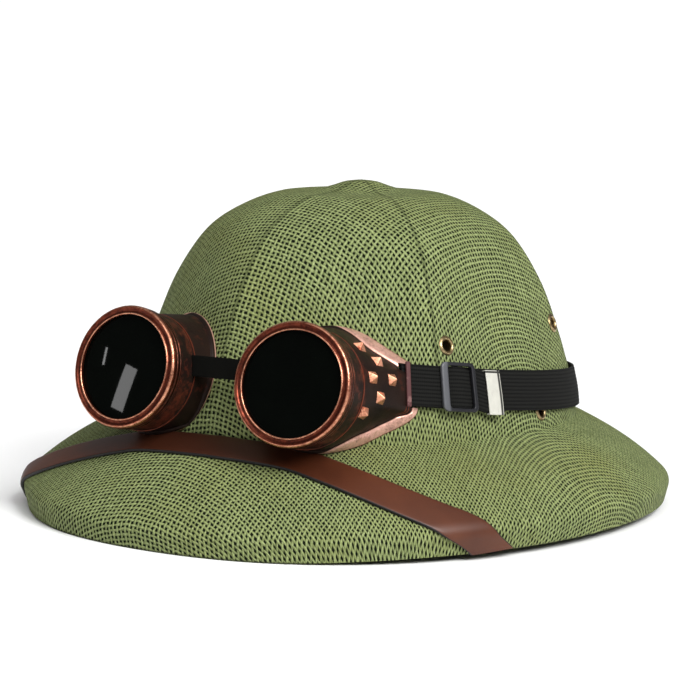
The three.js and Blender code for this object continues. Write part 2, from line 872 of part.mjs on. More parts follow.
// The tail lies on the strap, runs under both side bars of the slider and over its middle bar.
function tailGeometry() {
  const hump = clearance + sliderThickness / 2;
  const sliderMiddle = sliderStart + sliderLength / 2;
  const sliderEnd = sliderStart + sliderLength;
  const beforeClip = clipStart - clearance;
  const stations = [
    [-elasticInsert, 0],
    [0, 0],
    [sliderStart / 2, 0],
    [sliderStart, 0],
    [sliderStart + sliderSideBar, 0],
    [sliderMiddle - sliderCentreBar / 2, 1],
    [sliderMiddle + sliderCentreBar / 2, 1],
    [sliderEnd - sliderFarBar, 0],
    [sliderEnd, 0],
    [beforeClip, 0],
    [clipStart + clipLength / 2, 0],
    [clipStart + clipLength - clipThickness - clearance, 0],
  ];
  return loft(stations.map(([travel, raised]) => {
    const turn = turnFromLug(travel);
    const past = (travel - sliderEnd) / (beforeClip - sliderEnd);
    const droop = tailDroop * THREE.MathUtils.clamp(past, 0, 1);
    const low = tailLift[0] + raised * hump;
    const high = tailLift[1] + raised * hump;
    return [
      elasticPoint(turn, -halfElastic - droop, low),
      elasticPoint(turn, -droop, low),
      elasticPoint(turn, halfElastic - droop, low),
      elasticPoint(turn, halfElastic - droop, high),
      elasticPoint(turn, -droop, high),
      elasticPoint(turn, -halfElastic - droop, high),
    ];
  }));
}

function sliderGeometry() {
  const half = sliderWidth / 2;
  const low = tailLift[1] + clearance;
  const high = low + sliderThickness;
  const end = sliderStart + sliderLength;
  const middle = sliderStart + sliderLength / 2;
  const frame = ribbonBox([sliderStart, end], [-half, half], [tailLift[0], high], 2, turnFromLug);
  const open = half - sliderEdgeBar;
  const window = ribbonBox(
    [sliderStart + sliderSideBar, end - sliderFarBar],
    [-open, open],
    [0, 2 * high],
    2,
    turnFromLug,
  );
  const channel = ribbonBox(
    [sliderStart - sliderSideBar, end + sliderSideBar],
    [-open, open],
    [0, low],
    2,
    turnFromLug,
  );
  const bar = ribbonBox(
    [middle - sliderCentreBar / 2, middle + sliderCentreBar / 2],
    [-half + clearance, half - clearance],
    [tailLift[0], tailLift[0] + sliderThickness / 2],
    1,
    turnFromLug,
  );
  return geometryOf(solidOf(frame).subtract(solidOf(window)).subtract(solidOf(channel))
    .add(solidOf(bar)));
}

function clipGeometry() {
  const half = clipWidth / 2;
  const end = clipStart + clipLength;
  const high = tailLift[1] + clearance;
  const body = ribbonBox(
    [clipStart, end],
    [-half - tailDroop, half - tailDroop],
    [tailLift[0], high + clipThickness],
    2,
    turnFromLug,
  );
  const room = ribbonBox(
    [clipStart - clipThickness, end - clipThickness],
    [-halfElastic - clearance - tailDroop, halfElastic + clearance - tailDroop],
    [0, high],
    2,
    turnFromLug,
  );
  return geometryOf(solidOf(body).subtract(solidOf(room)));
}

// Finishes and the assembled object

const finish = (color, roughness, metalness) => (
  new THREE.MeshStandardMaterial({ color, roughness, metalness })
);
const straw = finish(0x78905a, 0.85, 0);
const brass = finish(0xb08d57, 0.35, 1);
const leather = finish(0x5b2a1c, 0.4, 0);
const copper = finish(0x8a4630, 0.35, 1);
const cupPaint = finish(0x3a2620, 0.5, 0.6);
const darkGlass = finish(0x0c110e, 0.05, 0);
const webbing = finish(0x161616, 0.8, 0);
const blackPlastic = finish(0x1c1d1f, 0.35, 0);
const chromePlate = finish(0xd8d8d8, 0.15, 1);

const helmet = new THREE.Group();

function piece(name, geometry, material, parent = helmet) {
  const mesh = new THREE.Mesh(facingOut(geometry), material);
  mesh.name = name;
  parent.add(mesh);
  return mesh;
}

piece('shell', shellGeometry(), straw);
for (const spot of eyeletSpots()) {
  const eyelet = piece(spot.name, eyeletGeometry(), brass);
  eyelet.position.copy(spot.origin);
  eyelet.quaternion.setFromUnitVectors(new THREE.Vector3(0, 1, 0), spot.axis);
}
piece('leather_strap', leatherGeometry(), leather);

const goggles = new THREE.Group();
helmet.add(goggles);
for (const [label, frame, lugEnd] of [
  ['left', leftFrame, leftLugTurn],
  ['right', rightFrame, rightLugTurn],
]) {
  piece(`goggle_cup_${label}`, cupGeometry(frame, lugEnd), cupPaint, goggles);
  const eyepiece = new THREE.Group();
  eyepiece.position.copy(frame.centre);
  eyepiece.quaternion.setFromUnitVectors(new THREE.Vector3(0, 1, 0), frame.forward);
  piece(`lens_ring_${label}`, ringGeometry(), copper, eyepiece);
  piece(`lens_${label}`, lensGeometry(), darkGlass, eyepiece);
  goggles.add(eyepiece);
}
piece('bridge_strap', bridgeGeometry(), blackPlastic, goggles);
piece('goggle_strap', elasticGeometry(), webbing, goggles);
piece('strap_tail', tailGeometry(), webbing, goggles);
piece('strap_slider', sliderGeometry(), blackPlastic, goggles);
piece('strap_end_clip', clipGeometry(), chromePlate, goggles);

export default helmet;
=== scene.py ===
# A green straw sun helmet with a leather band across its brim and copper goggles strapped round
# its crown. Every piece is modelled finely over its plain solid in the frame, from the same
# sizes. The front looks along -Y and the wearer's left is +X. A turn is an angle round the crown,
# from 0 at the front towards the wearer's left.
import math

import bpy
import numpy as np
from mathutils import Matrix, Vector


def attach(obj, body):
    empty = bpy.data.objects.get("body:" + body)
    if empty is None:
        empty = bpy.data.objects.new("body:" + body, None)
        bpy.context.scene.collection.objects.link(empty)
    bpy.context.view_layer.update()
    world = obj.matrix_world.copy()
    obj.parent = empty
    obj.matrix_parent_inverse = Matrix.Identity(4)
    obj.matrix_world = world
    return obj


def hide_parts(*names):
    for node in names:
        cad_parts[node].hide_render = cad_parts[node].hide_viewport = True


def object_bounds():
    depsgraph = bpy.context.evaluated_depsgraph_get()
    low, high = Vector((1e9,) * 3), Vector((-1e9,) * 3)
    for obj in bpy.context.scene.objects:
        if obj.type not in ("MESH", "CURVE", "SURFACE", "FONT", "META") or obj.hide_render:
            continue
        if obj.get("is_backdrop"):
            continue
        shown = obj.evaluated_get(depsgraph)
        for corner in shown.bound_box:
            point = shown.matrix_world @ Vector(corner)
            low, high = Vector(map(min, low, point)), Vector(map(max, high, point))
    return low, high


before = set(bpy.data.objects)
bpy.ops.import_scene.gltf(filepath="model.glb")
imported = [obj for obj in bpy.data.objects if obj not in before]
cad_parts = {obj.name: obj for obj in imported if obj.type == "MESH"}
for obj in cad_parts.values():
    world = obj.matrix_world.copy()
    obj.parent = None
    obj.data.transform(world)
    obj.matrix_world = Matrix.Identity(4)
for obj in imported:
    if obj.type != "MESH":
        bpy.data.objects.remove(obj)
frame_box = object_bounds()
bpy.ops.object.select_all(action="DESELECT")

MM = 0.001

# Shell sizes, as in the frame
BRIM_FRONT = 169.7 * MM
BRIM_BACK = 169.7 * MM
BRIM_SIDE = 141.6 * MM
CROWN_FRONT = 114.6 * MM
CROWN_BACK = 118.4 * MM
CROWN_SIDE = 98.3 * MM
CROWN_BASE = 44.3 * MM
CROWN_HEIGHT = 103.6 * MM
BOSS_RISE = 6.2 * MM
CROWN_SETBACK = 1.2 * MM
PANEL_HOLLOW = 8 * MM
HOLLOW_LEAN = 1.3
PANELS = 6
RIDGE_SHARPNESS = 1.05
SQUARENESS = 2.15
BRIM_SAG = 0.26
HEM_HEIGHT = 10.5 * MM
HEM_TUCK = 2.6 * MM
HEM_ROUNDING = 3.6 * MM
HEM_BEND_SHARE = 0.6
SIDE_RISE = 3.5 * MM
RESTING_SWEEP = math.radians(18)
SHELL_WALL = 2.4 * MM

# Half section of the crown: out as a share of its half length, up as a share of its height and
# the boss's own share of its rise
CROWN_PROFILE = np.array([
    (0, 1, 1),
    (0.07, 1, 0.86),
    (0.13, 1, 0.52),
    (0.19, 1, 0.25),
    (0.27, 1, 0.1),
    (0.36, 1, 0),
    (0.52, 0.94, 0),
    (0.68, 0.83, 0),
    (0.82, 0.62, 0),
    (0.91, 0.39, 0),
    (0.945, 0.28, 0),
    (0.985, 0.12, 0),
    (1, 0, 0),
])

CLEARANCE = 0.3 * MM
TRIM_TURN = math.radians(4.8)

# Eyelets: turn, and height as a share of the crown's
EYELETS = {"front": (63.5, 0.405), "rear": (117, 0.43), "low": (95.5, 0.078)}
EYELET_FLANGE = 4.6 * MM
EYELET_BORE = 2.5 * MM
EYELET_HOLE = 3.2 * MM

# Leather band: the middle line's turn as a share of half its sweep, its place out across the
# brim, and its place down the turned edge
LEATHER_SWEEP = math.radians(57.9)
LEATHER_WIDTH = 15.8 * MM
LEATHER_THICKNESS = 1.6 * MM
LEATHER_FIT = 0.1 * MM
LEATHER_ROUTE = np.array([
    (0, 0.155, 0),
    (0.21, 0.18, 0),
    (0.36, 0.235, 0),
    (0.49, 0.365, 0),
    (0.627, 0.555, 0),
    (0.758, 0.775, 0),
    (0.826, 0.895, 0),
    (0.888, 1, 0),
    (1, 1, 1),
])

# Goggles. The border's widening and the panel's dip are finer than in the frame.
RING_RADIUS = 27.7 * MM
RING_DEPTH = 7 * MM
LENS_OPENING = 23.5 * MM
LENS_SETBACK = 2.1 * MM
LENS_THICKNESS = 1.8 * MM
LENS_SEAT = 1.4 * MM
LENS_CROWN = 0.5 * MM
CUP_SPACING = 85.4 * MM
CUP_DEPTH = 36.4 * MM
CUP_HEIGHT = 74.3 * MM
CUP_SPLAY = math.radians(4.8)
CUP_TIP = math.radians(13.7)
NECK_RADIUS = 26.6 * MM
NECK_LENGTH = 18 * MM
CUP_WALL = 2.2 * MM
FLANGE_RADIUS = 28.3 * MM
FLANGE_LIFT = 2.1 * MM
LUG_REACH = 6.2 * MM
LUG_SHOULDER = math.radians(56)
LUG_SHARPNESS = 16
LUG_TURN = math.radians(9)
NOSE_FLARE = 10 * MM
TEMPLE_FLARE = 35 * MM
BORDER_HEIGHT = 2.6 * MM
BORDER_RISE = 1 * MM
BORDER_WIDENING = 5 * MM
PANEL_DIP = 3 * MM
DIP_POWER = 1.6
LUG_PANEL = (math.radians(13), math.radians(21))
STUD_SIZE = 6.3 * MM
STUD_HEIGHT = 2.8 * MM
STUD_TIP = 0.35 * MM
STUD_ROOT = 0.6 * MM
STUD_BEVEL = 0.4 * MM
STUD_PITCH = 15.6 * MM
STUD_COLUMN_PITCH = 7 * MM
STUD_COLUMN_START = 6.5 * MM
STUD_TILT = 3 * MM
STUD_MIDDLE = math.radians(17)
STUD_COLUMNS = [(-1, 0, 1), (-0.5, 0.5), (0,)]

BRIDGE_WIDTH = 9.3 * MM
BRIDGE_THICKNESS = 1.2 * MM
BRIDGE_SETBACK = 16 * MM
BRIDGE_ANGLE = math.radians(11.5)
BRIDGE_UV_LENGTH = 30 * MM

# Elastic strap, tail, slider and end clip. The lug's bar and the slider's edge bars are finer
# than in the frame.
ELASTIC_WIDTH = 18.6 * MM
ELASTIC_THICKNESS = 1.3 * MM
ELASTIC_LIFT = 0.6 * MM
ELASTIC_BACK = 54.5 * MM
ELASTIC_RISE = 19.3 * MM
ELASTIC_FALL = 1.35
ELASTIC_INSERT = 9 * MM
LUG_BAR_SETBACK = 5 * MM
LUG_BAR_WIDTH = 2 * MM
LUG_BAR_THICKNESS = 1.4 * MM
LUG_BAR_OVERLAP = 0.1 * MM
LUG_BEVEL = 0.35 * MM
PASSAGE_EXTRA = 0.5 * MM
SLIDER_START = 9.8 * MM
SLIDER_LENGTH = 18.2 * MM
SLIDER_WIDTH = 21.8 * MM
SLIDER_SIDE_BAR = 3.3 * MM
SLIDER_FAR_BAR = 2 * MM
SLIDER_EDGE_BAR = 1.58 * MM
SLIDER_THICKNESS = 1.9 * MM
SLIDER_CENTRE_BAR = 3 * MM
SLIDER_CORNER = 2.6 * MM
SLIDER_BEVEL = 0.3 * MM
STRUT_BEVEL = 0.2 * MM
CLIP_START = 35.2 * MM
CLIP_LENGTH = 9 * MM
CLIP_THICKNESS = 0.6 * MM
CLIP_WIDTH = 19.8 * MM
CLIP_BEVEL = 0.22 * MM
TAIL_DROOP = 1.6 * MM
TAIL_FIT = 0.05 * MM


# Curves and surfaces worked out with arrays. A point array has its x, y, z along its last axis.
# Slopes are measured over a small step in radians, or in shares of a line.

SLOPE_STEP = 0.02


def unit(vectors):
    return vectors / np.linalg.norm(vectors, axis=-1, keepdims=True)


def smooth(values, low, high):
    share = np.clip((values - low) / (high - low), 0, 1)
    return share * share * (3 - 2 * share)


def distances(points):
    """Distances walked along a line of points."""
    steps = np.linalg.norm(np.diff(points, axis=0), axis=1)
    return np.concatenate([[0], np.cumsum(steps)])


def bent(start, corner, end, share):
    """A place on the curve that leaves start towards a corner and comes to end from there."""
    return start * (1 - share) ** 2 + corner * 2 * share * (1 - share) + end * share ** 2


def narrowed(low, high, past, times):
    """Halves each span from low to high round the depth at which past(depth) begins."""
    for _ in range(times):
        middle = (low + high) / 2
        beyond = past(middle)
        high = np.where(beyond, middle, high)
        low = np.where(beyond, low, middle)
    return low, high


def catmull_rom(points, places):
    """The centripetal curve through points, at places from 0 to 1 counted by points."""
    points = np.asarray(points, float)
    places = np.clip(np.asarray(places, float), 0, 1) * (len(points) - 1)
    index = np.clip(np.floor(places).astype(int), 0, len(points) - 2)
    weight = (places - index)[..., None]
    padded = np.vstack([2 * points[0] - points[1], points, 2 * points[-1] - points[-2]])
    before, start, end, after = (padded[index + offset] for offset in range(4))

    def gap(a, b):
        return np.maximum(np.linalg.norm(b - a, axis=-1, keepdims=True) ** 0.5, 1e-4)

    first, middle, last = gap(before, start), gap(start, end), gap(end, after)
    leave = (start - before) / first - (end - before) / (first + middle) + (end - start) / middle
    reach = (end - start) / middle - (after - start) / (middle + last) + (after - end) / last
    leave, reach = leave * middle, reach * middle
    square = weight * weight
    cube = square * weight
    return (
        start
        + leave * weight
        + (3 * (end - start) - 2 * leave - reach) * square
        + (2 * (start - end) + leave + reach) * cube
    )


class Profile:
    """The crown's half section, by distance along it and by height."""

    def __init__(self):
        rows = CROWN_PROFILE.copy()
        rows[:, 2] *= BOSS_RISE / CROWN_HEIGHT
        self.rows = catmull_rom(rows, np.linspace(0, 1, 2001))
        self.shares = distances(self.rows)
        self.shares /= self.shares[-1]

    def at(self, along):
        return np.stack([np.interp(along, self.shares, row) for row in self.rows.T], axis=-1)

    def along_height(self, up):
        low = np.searchsorted(self.shares, 0.3)
        return np.interp(-np.asarray(up), -self.rows[low:, 1], self.shares[low:])


profile = Profile()


def oval(turn):
    sine, cosine = np.sin(turn), np.cos(turn)
    total = np.abs(sine) ** SQUARENESS + np.abs(cosine) ** SQUARENESS
    scale = total ** (-1 / SQUARENESS)
    return scale * sine, -scale * cosine


def crown_oval(turn, share):
    x, y = oval(turn)
    length = np.where(y < 0, CROWN_FRONT, CROWN_BACK)
    return np.stack([share * CROWN_SIDE * x, share * length * y - CROWN_SETBACK, 0 * x], axis=-1)


def brim_oval(turn):
    x, y = oval(turn)
    length = np.where(y < 0, BRIM_FRONT, BRIM_BACK)
    return np.stack([BRIM_SIDE * x, length * y, 0 * x], axis=-1)


def from_middle(points):
    """Level distances from the crown's middle."""
    return np.hypot(points[..., 0], points[..., 1] + CROWN_SETBACK)


def edge_height(turn):
    return SIDE_RISE * smooth(np.abs(np.sin(turn)), math.sin(RESTING_SWEEP), 1)


def brim_point(turn, share):
    inner = crown_oval(turn, 1)
    point = inner + (brim_oval(turn) - inner) * np.asarray(share)[..., None]
    slope = (1 - BRIM_SAG) * share + BRIM_SAG * share ** 3
    point[..., 2] = CROWN_BASE - (CROWN_BASE - HEM_HEIGHT - edge_height(turn)) * slope
    return point


def brim_width(turn):
    return np.linalg.norm(brim_point(turn, 1 + 0 * turn) - brim_point(turn, 0 * turn), axis=-1)


def hem_point(turn, share):
    corner = brim_point(turn, 1 + 0 * turn)
    start = brim_point(turn, 1 - HEM_ROUNDING / brim_width(turn))
    inward = -corner
    inward[..., 2] = 0
    foot = corner + unit(inward) * HEM_TUCK
    foot[..., 2] = edge_height(turn)
    bend = corner + (foot - corner) * (HEM_ROUNDING / HEM_HEIGHT)
    curve = np.clip(share / HEM_BEND_SHARE, 0, 1)[..., None]
    straight = np.clip((share - HEM_BEND_SHARE) / (1 - HEM_BEND_SHARE), 0, 1)[..., None]
    curved = bent(start, corner, bend, curve)
    return np.where(curve < 1, curved, bend + (foot - bend) * straight)


def crown_point(turn, along):
    row = profile.at(along)
    out, up, boss = row[..., 0], row[..., 1], row[..., 2]
    point = crown_oval(turn, out)
    bulge = np.sin(np.pi * np.clip(up, 0, 1) ** HOLLOW_LEAN)
    between = np.abs(np.sin(PANELS / 2 * turn)) ** RIDGE_SHARPNESS
    shrink = 1 - PANEL_HOLLOW / CROWN_SIDE * between * bulge
    point[..., 0] *= shrink
    point[..., 1] *= shrink
    point[..., 2] = CROWN_BASE + CROWN_HEIGHT * (up + boss)
    return point


def shell_point(turn, along):
    """The shell's outside: along is 0 at the top, 1 at the crown's base, 2 where the turned edge
    begins and 3 at its foot."""
    turn, along = np.broadcast_arrays(np.asarray(turn, float), np.asarray(along, float))
    crown = crown_point(turn, np.clip(along, 0, 1))
    share = np.clip(along - 1, 0, 1) * (1 - HEM_ROUNDING / brim_width(turn))
    brim = brim_point(turn, share)
    hem = hem_point(turn, np.clip(along - 2, 0, 1))
    low = along[..., None]
    return np.where(low <= 1, crown, np.where(low <= 2, brim, hem))


def shell_normal(turn, along):
    around = shell_point(turn + SLOPE_STEP, along) - shell_point(turn - SLOPE_STEP, along)
    down = shell_point(turn, along + SLOPE_STEP) - shell_point(turn, along - SLOPE_STEP)
    return unit(np.cross(down, around))


# The leather band's middle line, in turns and distances down from the crown's base

WALK = np.linspace(1, 3, 49)
WALK_EDGE = 24
LEATHER_OVERRUN = 16


def brim_walk(turn):
    """Distances down the brim and its turned edge, one row for each turn."""
    turn = np.atleast_1d(turn)
    points = shell_point(turn[:, None], WALK[None, :])
    steps = np.linalg.norm(np.diff(points, axis=1), axis=-1)
    return np.concatenate([np.zeros((len(turn), 1)), np.cumsum(steps, axis=1)], axis=1)


def along_at(turn, down):
    lengths = brim_walk(turn)
    return np.array([np.interp(d, row, WALK) for d, row in zip(np.atleast_1d(down), lengths)])


def leather_middle(position):
    row = catmull_rom(LEATHER_ROUTE, np.abs(position))
    turn = TRIM_TURN + np.sign(position) * row[:, 0] * LEATHER_SWEEP
    lengths = brim_walk(turn)
    brim = lengths[:, WALK_EDGE]
    hem = lengths[:, -1] - brim
    return turn, row[:, 1] * brim + np.maximum(row[:, 2], 0) * hem


def leather_edge(offset, count):
    """One long edge of the band as count places, cut off at the foot of the turned edge."""
    positions = np.linspace(-1, 1, 321)
    turn, down = leather_middle(positions)
    along = along_at(turn, down)
    across = shell_point(turn + SLOPE_STEP, along) - shell_point(turn - SLOPE_STEP, along)
    radius = np.linalg.norm(across, axis=-1) / (2 * SLOPE_STEP)
    round_by = np.gradient(turn) * radius
    down_by = np.gradient(down)
    length = np.hypot(round_by, down_by)
    fine = np.linspace(0, len(positions) + 1, 2401)

    def carried_on(values):
        before = values[0] + (values[0] - values[1]) * LEATHER_OVERRUN
        after = values[-1] + (values[-1] - values[-2]) * LEATHER_OVERRUN
        return np.interp(fine, np.arange(len(values) + 2), [before, *values, after])

    turns = carried_on(turn - offset * down_by / length / radius)
    downs = carried_on(down + offset * round_by / length)
    kept = downs <= brim_walk(turns)[:, -1]
    turns, downs = turns[kept], downs[kept]
    steps = np.hypot(np.diff(turns) * BRIM_SIDE, np.diff(downs))
    lengths = np.concatenate([[0], np.cumsum(steps)])
    places = np.linspace(0, lengths[-1], count)
    return np.interp(places, lengths, turns), np.interp(places, lengths, downs)


# The elastic's line round the crown. It is stretched over the ridges.

def crown_wall(turn, height):
    along = profile.along_height((height - CROWN_BASE) / CROWN_HEIGHT)
    point = crown_oval(turn, profile.at(along)[..., 0])
    point[..., 2] = height
    return point


def elastic_point(turn, across, lift):
    turn, across, lift = np.broadcast_arrays(
        np.asarray(turn, float), np.asarray(across, float), np.asarray(lift, float),
    )
    near_front = (1 + np.cos(turn - TRIM_TURN)) / 2
    middle = ELASTIC_BACK + ELASTIC_RISE * near_front ** ELASTIC_FALL
    up_one = crown_wall(turn, middle + MM) - crown_wall(turn, middle)
    height = middle + across * MM / np.linalg.norm(up_one, axis=-1)
    around = crown_wall(turn + SLOPE_STEP, height) - crown_wall(turn - SLOPE_STEP, height)
    up = crown_wall(turn, height + MM) - crown_wall(turn, height - MM)
    return crown_wall(turn, height) + unit(np.cross(around, up)) * lift[..., None]


# The goggles' cups. Each has its own frame: forward, outward from the nose and up.

def turn_of(point):
    """The oval's turn whose ray passes through a point."""
    shifted = point[..., 1] + CROWN_SETBACK
    length = np.where(shifted < 0, CROWN_FRONT, CROWN_BACK)
    return np.arctan2(point[..., 0] / CROWN_SIDE, -shifted / length)


# How much nearer the leaning wall and the sloping brim are than they look along a level line and
# straight down
WALL_LEAN = 0.94
BRIM_LEAN = 0.97

# How far down a line, and down a cup's side, the shell is looked for, and a depth past the flare
LINE_SEARCH = 110 * MM
SIDE_SEARCH = 95 * MM
LUG_DEPTH = 80 * MM


def shell_gap(points):
    """Roughly how far points lie outside the shell's crown and brim, negative within."""
    turn = turn_of(points)
    height = points[..., 2]
    wall = crown_point(turn, profile.along_height(
        np.clip((height - CROWN_BASE) / CROWN_HEIGHT, 0, 0.99),
    ))
    flat = from_middle(points)
    side = (flat - from_middle(wall)) * WALL_LEAN
    base = crown_oval(turn, 1)
    width = np.linalg.norm(brim_oval(turn) - base, axis=-1)
    share = (flat - from_middle(base)) / width
    brim = brim_point(turn, np.clip(share, 0, 1))[..., 2]
    over = (height - brim) * BRIM_LEAN
    return np.where(share > 0, np.minimum(over, np.maximum(side, over)), side)


def first_contact(depths, inside, within):
    """The depth at which each line first comes inside, from its tried depths and a finer test."""
    first = np.argmax(inside, axis=-1)
    low, high = narrowed(depths[np.maximum(first - 1, 0)], depths[first], within, 20)
    return (low + high) / 2


def seat_depth(start, direction):
    """How far along a direction a line first comes close to the shell."""
    depths = np.linspace(0, LINE_SEARCH, 1101)
    return first_contact(
        depths, shell_gap(start + direction * depths[:, None]) < CLEARANCE,
        lambda depth: shell_gap(start + direction * depth[..., None]) < CLEARANCE,
    )


class Cup:
    """One goggle's place and its outside, by the angle round it and the depth behind its front."""

    def __init__(self, side):
        self.side = side
        turn = TRIM_TURN + side * CUP_SPLAY
        level = math.cos(CUP_TIP)
        self.forward = np.array([
            math.sin(turn) * level, -math.cos(turn) * level, math.sin(CUP_TIP),
        ])
        self.outward = side * np.array([math.cos(turn), math.sin(turn), 0])
        self.up = side * np.cross(self.forward, self.outward)
        pair_out = np.array([math.cos(TRIM_TURN), math.sin(TRIM_TURN), 0])
        pair_forward = np.array([math.sin(TRIM_TURN), -math.cos(TRIM_TURN), 0])
        self.centre = pair_out * side * CUP_SPACING / 2 + pair_forward * (CROWN_FRONT + CUP_DEPTH)
        self.centre[2] = CUP_HEIGHT
        for _ in range(4):
            depth = seat_depth(self.centre, -self.forward)
            self.centre = self.centre + pair_forward * (CUP_DEPTH - depth)

    def flange_edge(self, angle):
        """The flange's round edge, drawn out to a blunt lug with two straight shoulders."""
        round_edge = FLANGE_RADIUS + FLANGE_LIFT * np.sin(angle)
        toward = np.cos(angle - LUG_TURN)
        aside = np.abs(np.sin(angle - LUG_TURN))
        near = toward > math.cos(LUG_SHOULDER)
        lean = math.cos(LUG_SHOULDER) * toward + math.sin(LUG_SHOULDER) * aside
        shoulder = round_edge / np.where(near, lean, 1)
        tip = (round_edge + LUG_REACH) / np.where(near, toward, 1)
        power = -LUG_SHARPNESS
        blunt = ((shoulder / MM) ** power + (tip / MM) ** power) ** (1 / power) * MM
        return np.where(near, blunt, round_edge)

    def radius(self, angle, depth):
        toward = np.cos(angle - LUG_TURN)
        flange = self.flange_edge(angle)
        flare = (NOSE_FLARE + TEMPLE_FLARE) / 2 + (TEMPLE_FLARE - NOSE_FLARE) / 2 * toward
        share = np.clip((depth - NECK_LENGTH) / flare, 0, 1)
        return NECK_RADIUS + (flange - NECK_RADIUS) * share

    def point(self, angle, radius, depth):
        angle, radius, depth = np.broadcast_arrays(
            np.asarray(angle, float), np.asarray(radius, float), np.asarray(depth, float),
        )
        return (
            self.centre
            - self.forward * depth[..., None]
            + self.outward * (radius * np.cos(angle))[..., None]
            + self.up * (radius * np.sin(angle))[..., None]
        )

    def skin(self, angle, depth, inset=0):
        return self.point(angle, self.radius(angle, depth) - inset, depth)

    def seat(self, angle, inset=0, skin=CLEARANCE):
        """The depth at which the outside, set in by an inset, meets the shell."""
        depths = np.linspace(NECK_LENGTH, SIDE_SEARCH, 800)
        return first_contact(
            depths, shell_gap(self.skin(angle[:, None], depths, inset)) < skin,
            lambda depth: shell_gap(self.skin(angle, depth, inset)) < skin,
        )

    def lug_end(self):
        """The turn of the crown at which the lug ends."""
        reach = self.radius(LUG_TURN, LUG_DEPTH)
        start = self.point(LUG_TURN, reach, 0)
        depth = seat_depth(start, -self.forward)
        return float(turn_of(start - self.forward * depth))


# Modelling helpers

WELD_DISTANCE = 0.01 * MM


def activate(piece):
    """Selects one object alone and makes it the active one."""
    bpy.ops.object.select_all(action="DESELECT")
    piece.select_set(True)
    bpy.context.view_layer.objects.active = piece


def start_edit(piece, select="SELECT"):
    """Takes one piece into Edit Mode with all or none of its mesh selected."""
    activate(piece)
    bpy.ops.object.mode_set(mode="EDIT")
    bpy.ops.mesh.select_all(action=select)


def end_edit():
    bpy.ops.object.mode_set(mode="OBJECT")


def vertex_places(piece):
    flat = np.empty(len(piece.data.vertices) * 3)
    piece.data.vertices.foreach_get("co", flat)
    return flat.reshape(-1, 3)


def move_vertices(piece, points):
    piece.data.vertices.foreach_set("co", np.ascontiguousarray(points).ravel())
    piece.data.update()


def corner_vertices(piece):
    """The vertex at each face corner."""
    index = np.empty(len(piece.data.loops), int)
    piece.data.loops.foreach_get("vertex_index", index)
    return index


def corner_uv(piece):
    data = piece.data.uv_layers["UVMap"].data
    flat = np.empty(len(data) * 2)
    data.foreach_get("uv", flat)
    return flat.reshape(-1, 2)


def set_uv(piece, u, v):
    values = np.stack(np.broadcast_arrays(u, v), axis=-1)
    piece.data.uv_layers["UVMap"].data.foreach_set("uv", values.ravel())


def grid_piece(name, columns, rows, place):
    """A grid primitive whose points are moved to place(u, v), with u and v from 0 to 1."""
    bpy.ops.object.select_all(action="DESELECT")
    bpy.ops.mesh.primitive_grid_add(x_subdivisions=columns, y_subdivisions=rows, size=2)
    piece = bpy.context.object
    piece.name = name
    piece.data.name = name
    flat = vertex_places(piece)
    move_vertices(piece, place((flat[:, 0] + 1) / 2, (flat[:, 1] + 1) / 2))
    return piece


def box_piece(name, size, place=(0, 0, 0)):
    """A box of a size about a place. Its object sits at the origin."""
    bpy.ops.object.select_all(action="DESELECT")
    bpy.ops.mesh.primitive_cube_add(size=1)
    piece = bpy.context.object
    piece.name = name
    piece.scale = size
    piece.location = place
    settle(piece)
    return piece


def weld(piece):
    """Merges doubles and turns the faces outward."""
    start_edit(piece)
    bpy.ops.mesh.remove_doubles(threshold=WELD_DISTANCE)
    bpy.ops.mesh.normals_make_consistent(inside=False)
    end_edit()


def close_ends(piece):
    """Fills the open ends of a swept piece."""
    start_edit(piece, "DESELECT")
    bpy.ops.mesh.select_non_manifold(extend=False)
    bpy.ops.mesh.fill_holes(sides=0)
    bpy.ops.mesh.select_all(action="SELECT")
    bpy.ops.mesh.normals_make_consistent(inside=False)
    end_edit()


def subdivide(piece, cuts):
    start_edit(piece)
    bpy.ops.mesh.subdivide(number_cuts=cuts)
    end_edit()


def modify(piece, kind, **settings):
    """Adds a modifier with its settings and applies it."""
    bpy.context.view_layer.objects.active = piece
    modifier = piece.modifiers.new(kind.title(), kind)
    for key, value in settings.items():
        setattr(modifier, key, value)
    bpy.ops.object.modifier_apply(modifier=modifier.name)


def cut(piece, cutter):
    modify(piece, "BOOLEAN", operation="DIFFERENCE", solver="EXACT", object=cutter)
    bpy.data.objects.remove(cutter)


def join(pieces):
    bpy.ops.object.select_all(action="DESELECT")
    for piece in pieces:
        piece.select_set(True)
    bpy.context.view_layer.objects.active = pieces[0]
    bpy.ops.object.join()
    return pieces[0]


def smooth_shade(piece, degrees):
    activate(piece)
    bpy.ops.object.shade_smooth_by_angle(angle=math.radians(degrees))


def settle(piece):
    """Applies the object's place, so that it sits at the origin."""
    activate(piece)
    bpy.ops.object.transform_apply(location=True, rotation=True, scale=True)


def finish(piece, material, slot, *nodes):
    """Gives a piece its material and its body, and hides the frame nodes it stands for. The slot
    is not used.
    """
    piece.data.materials.clear()
    piece.data.materials.append(material)
    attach(piece, "root")
    if nodes:
        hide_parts(*nodes)


def frame_matrix(origin, x_axis, y_axis, z_axis):
    matrix = Matrix.Identity(4)
    for column, vector in enumerate((x_axis, y_axis, z_axis, origin)):
        for row in range(3):
            matrix[row][column] = float(vector[row])
    return matrix


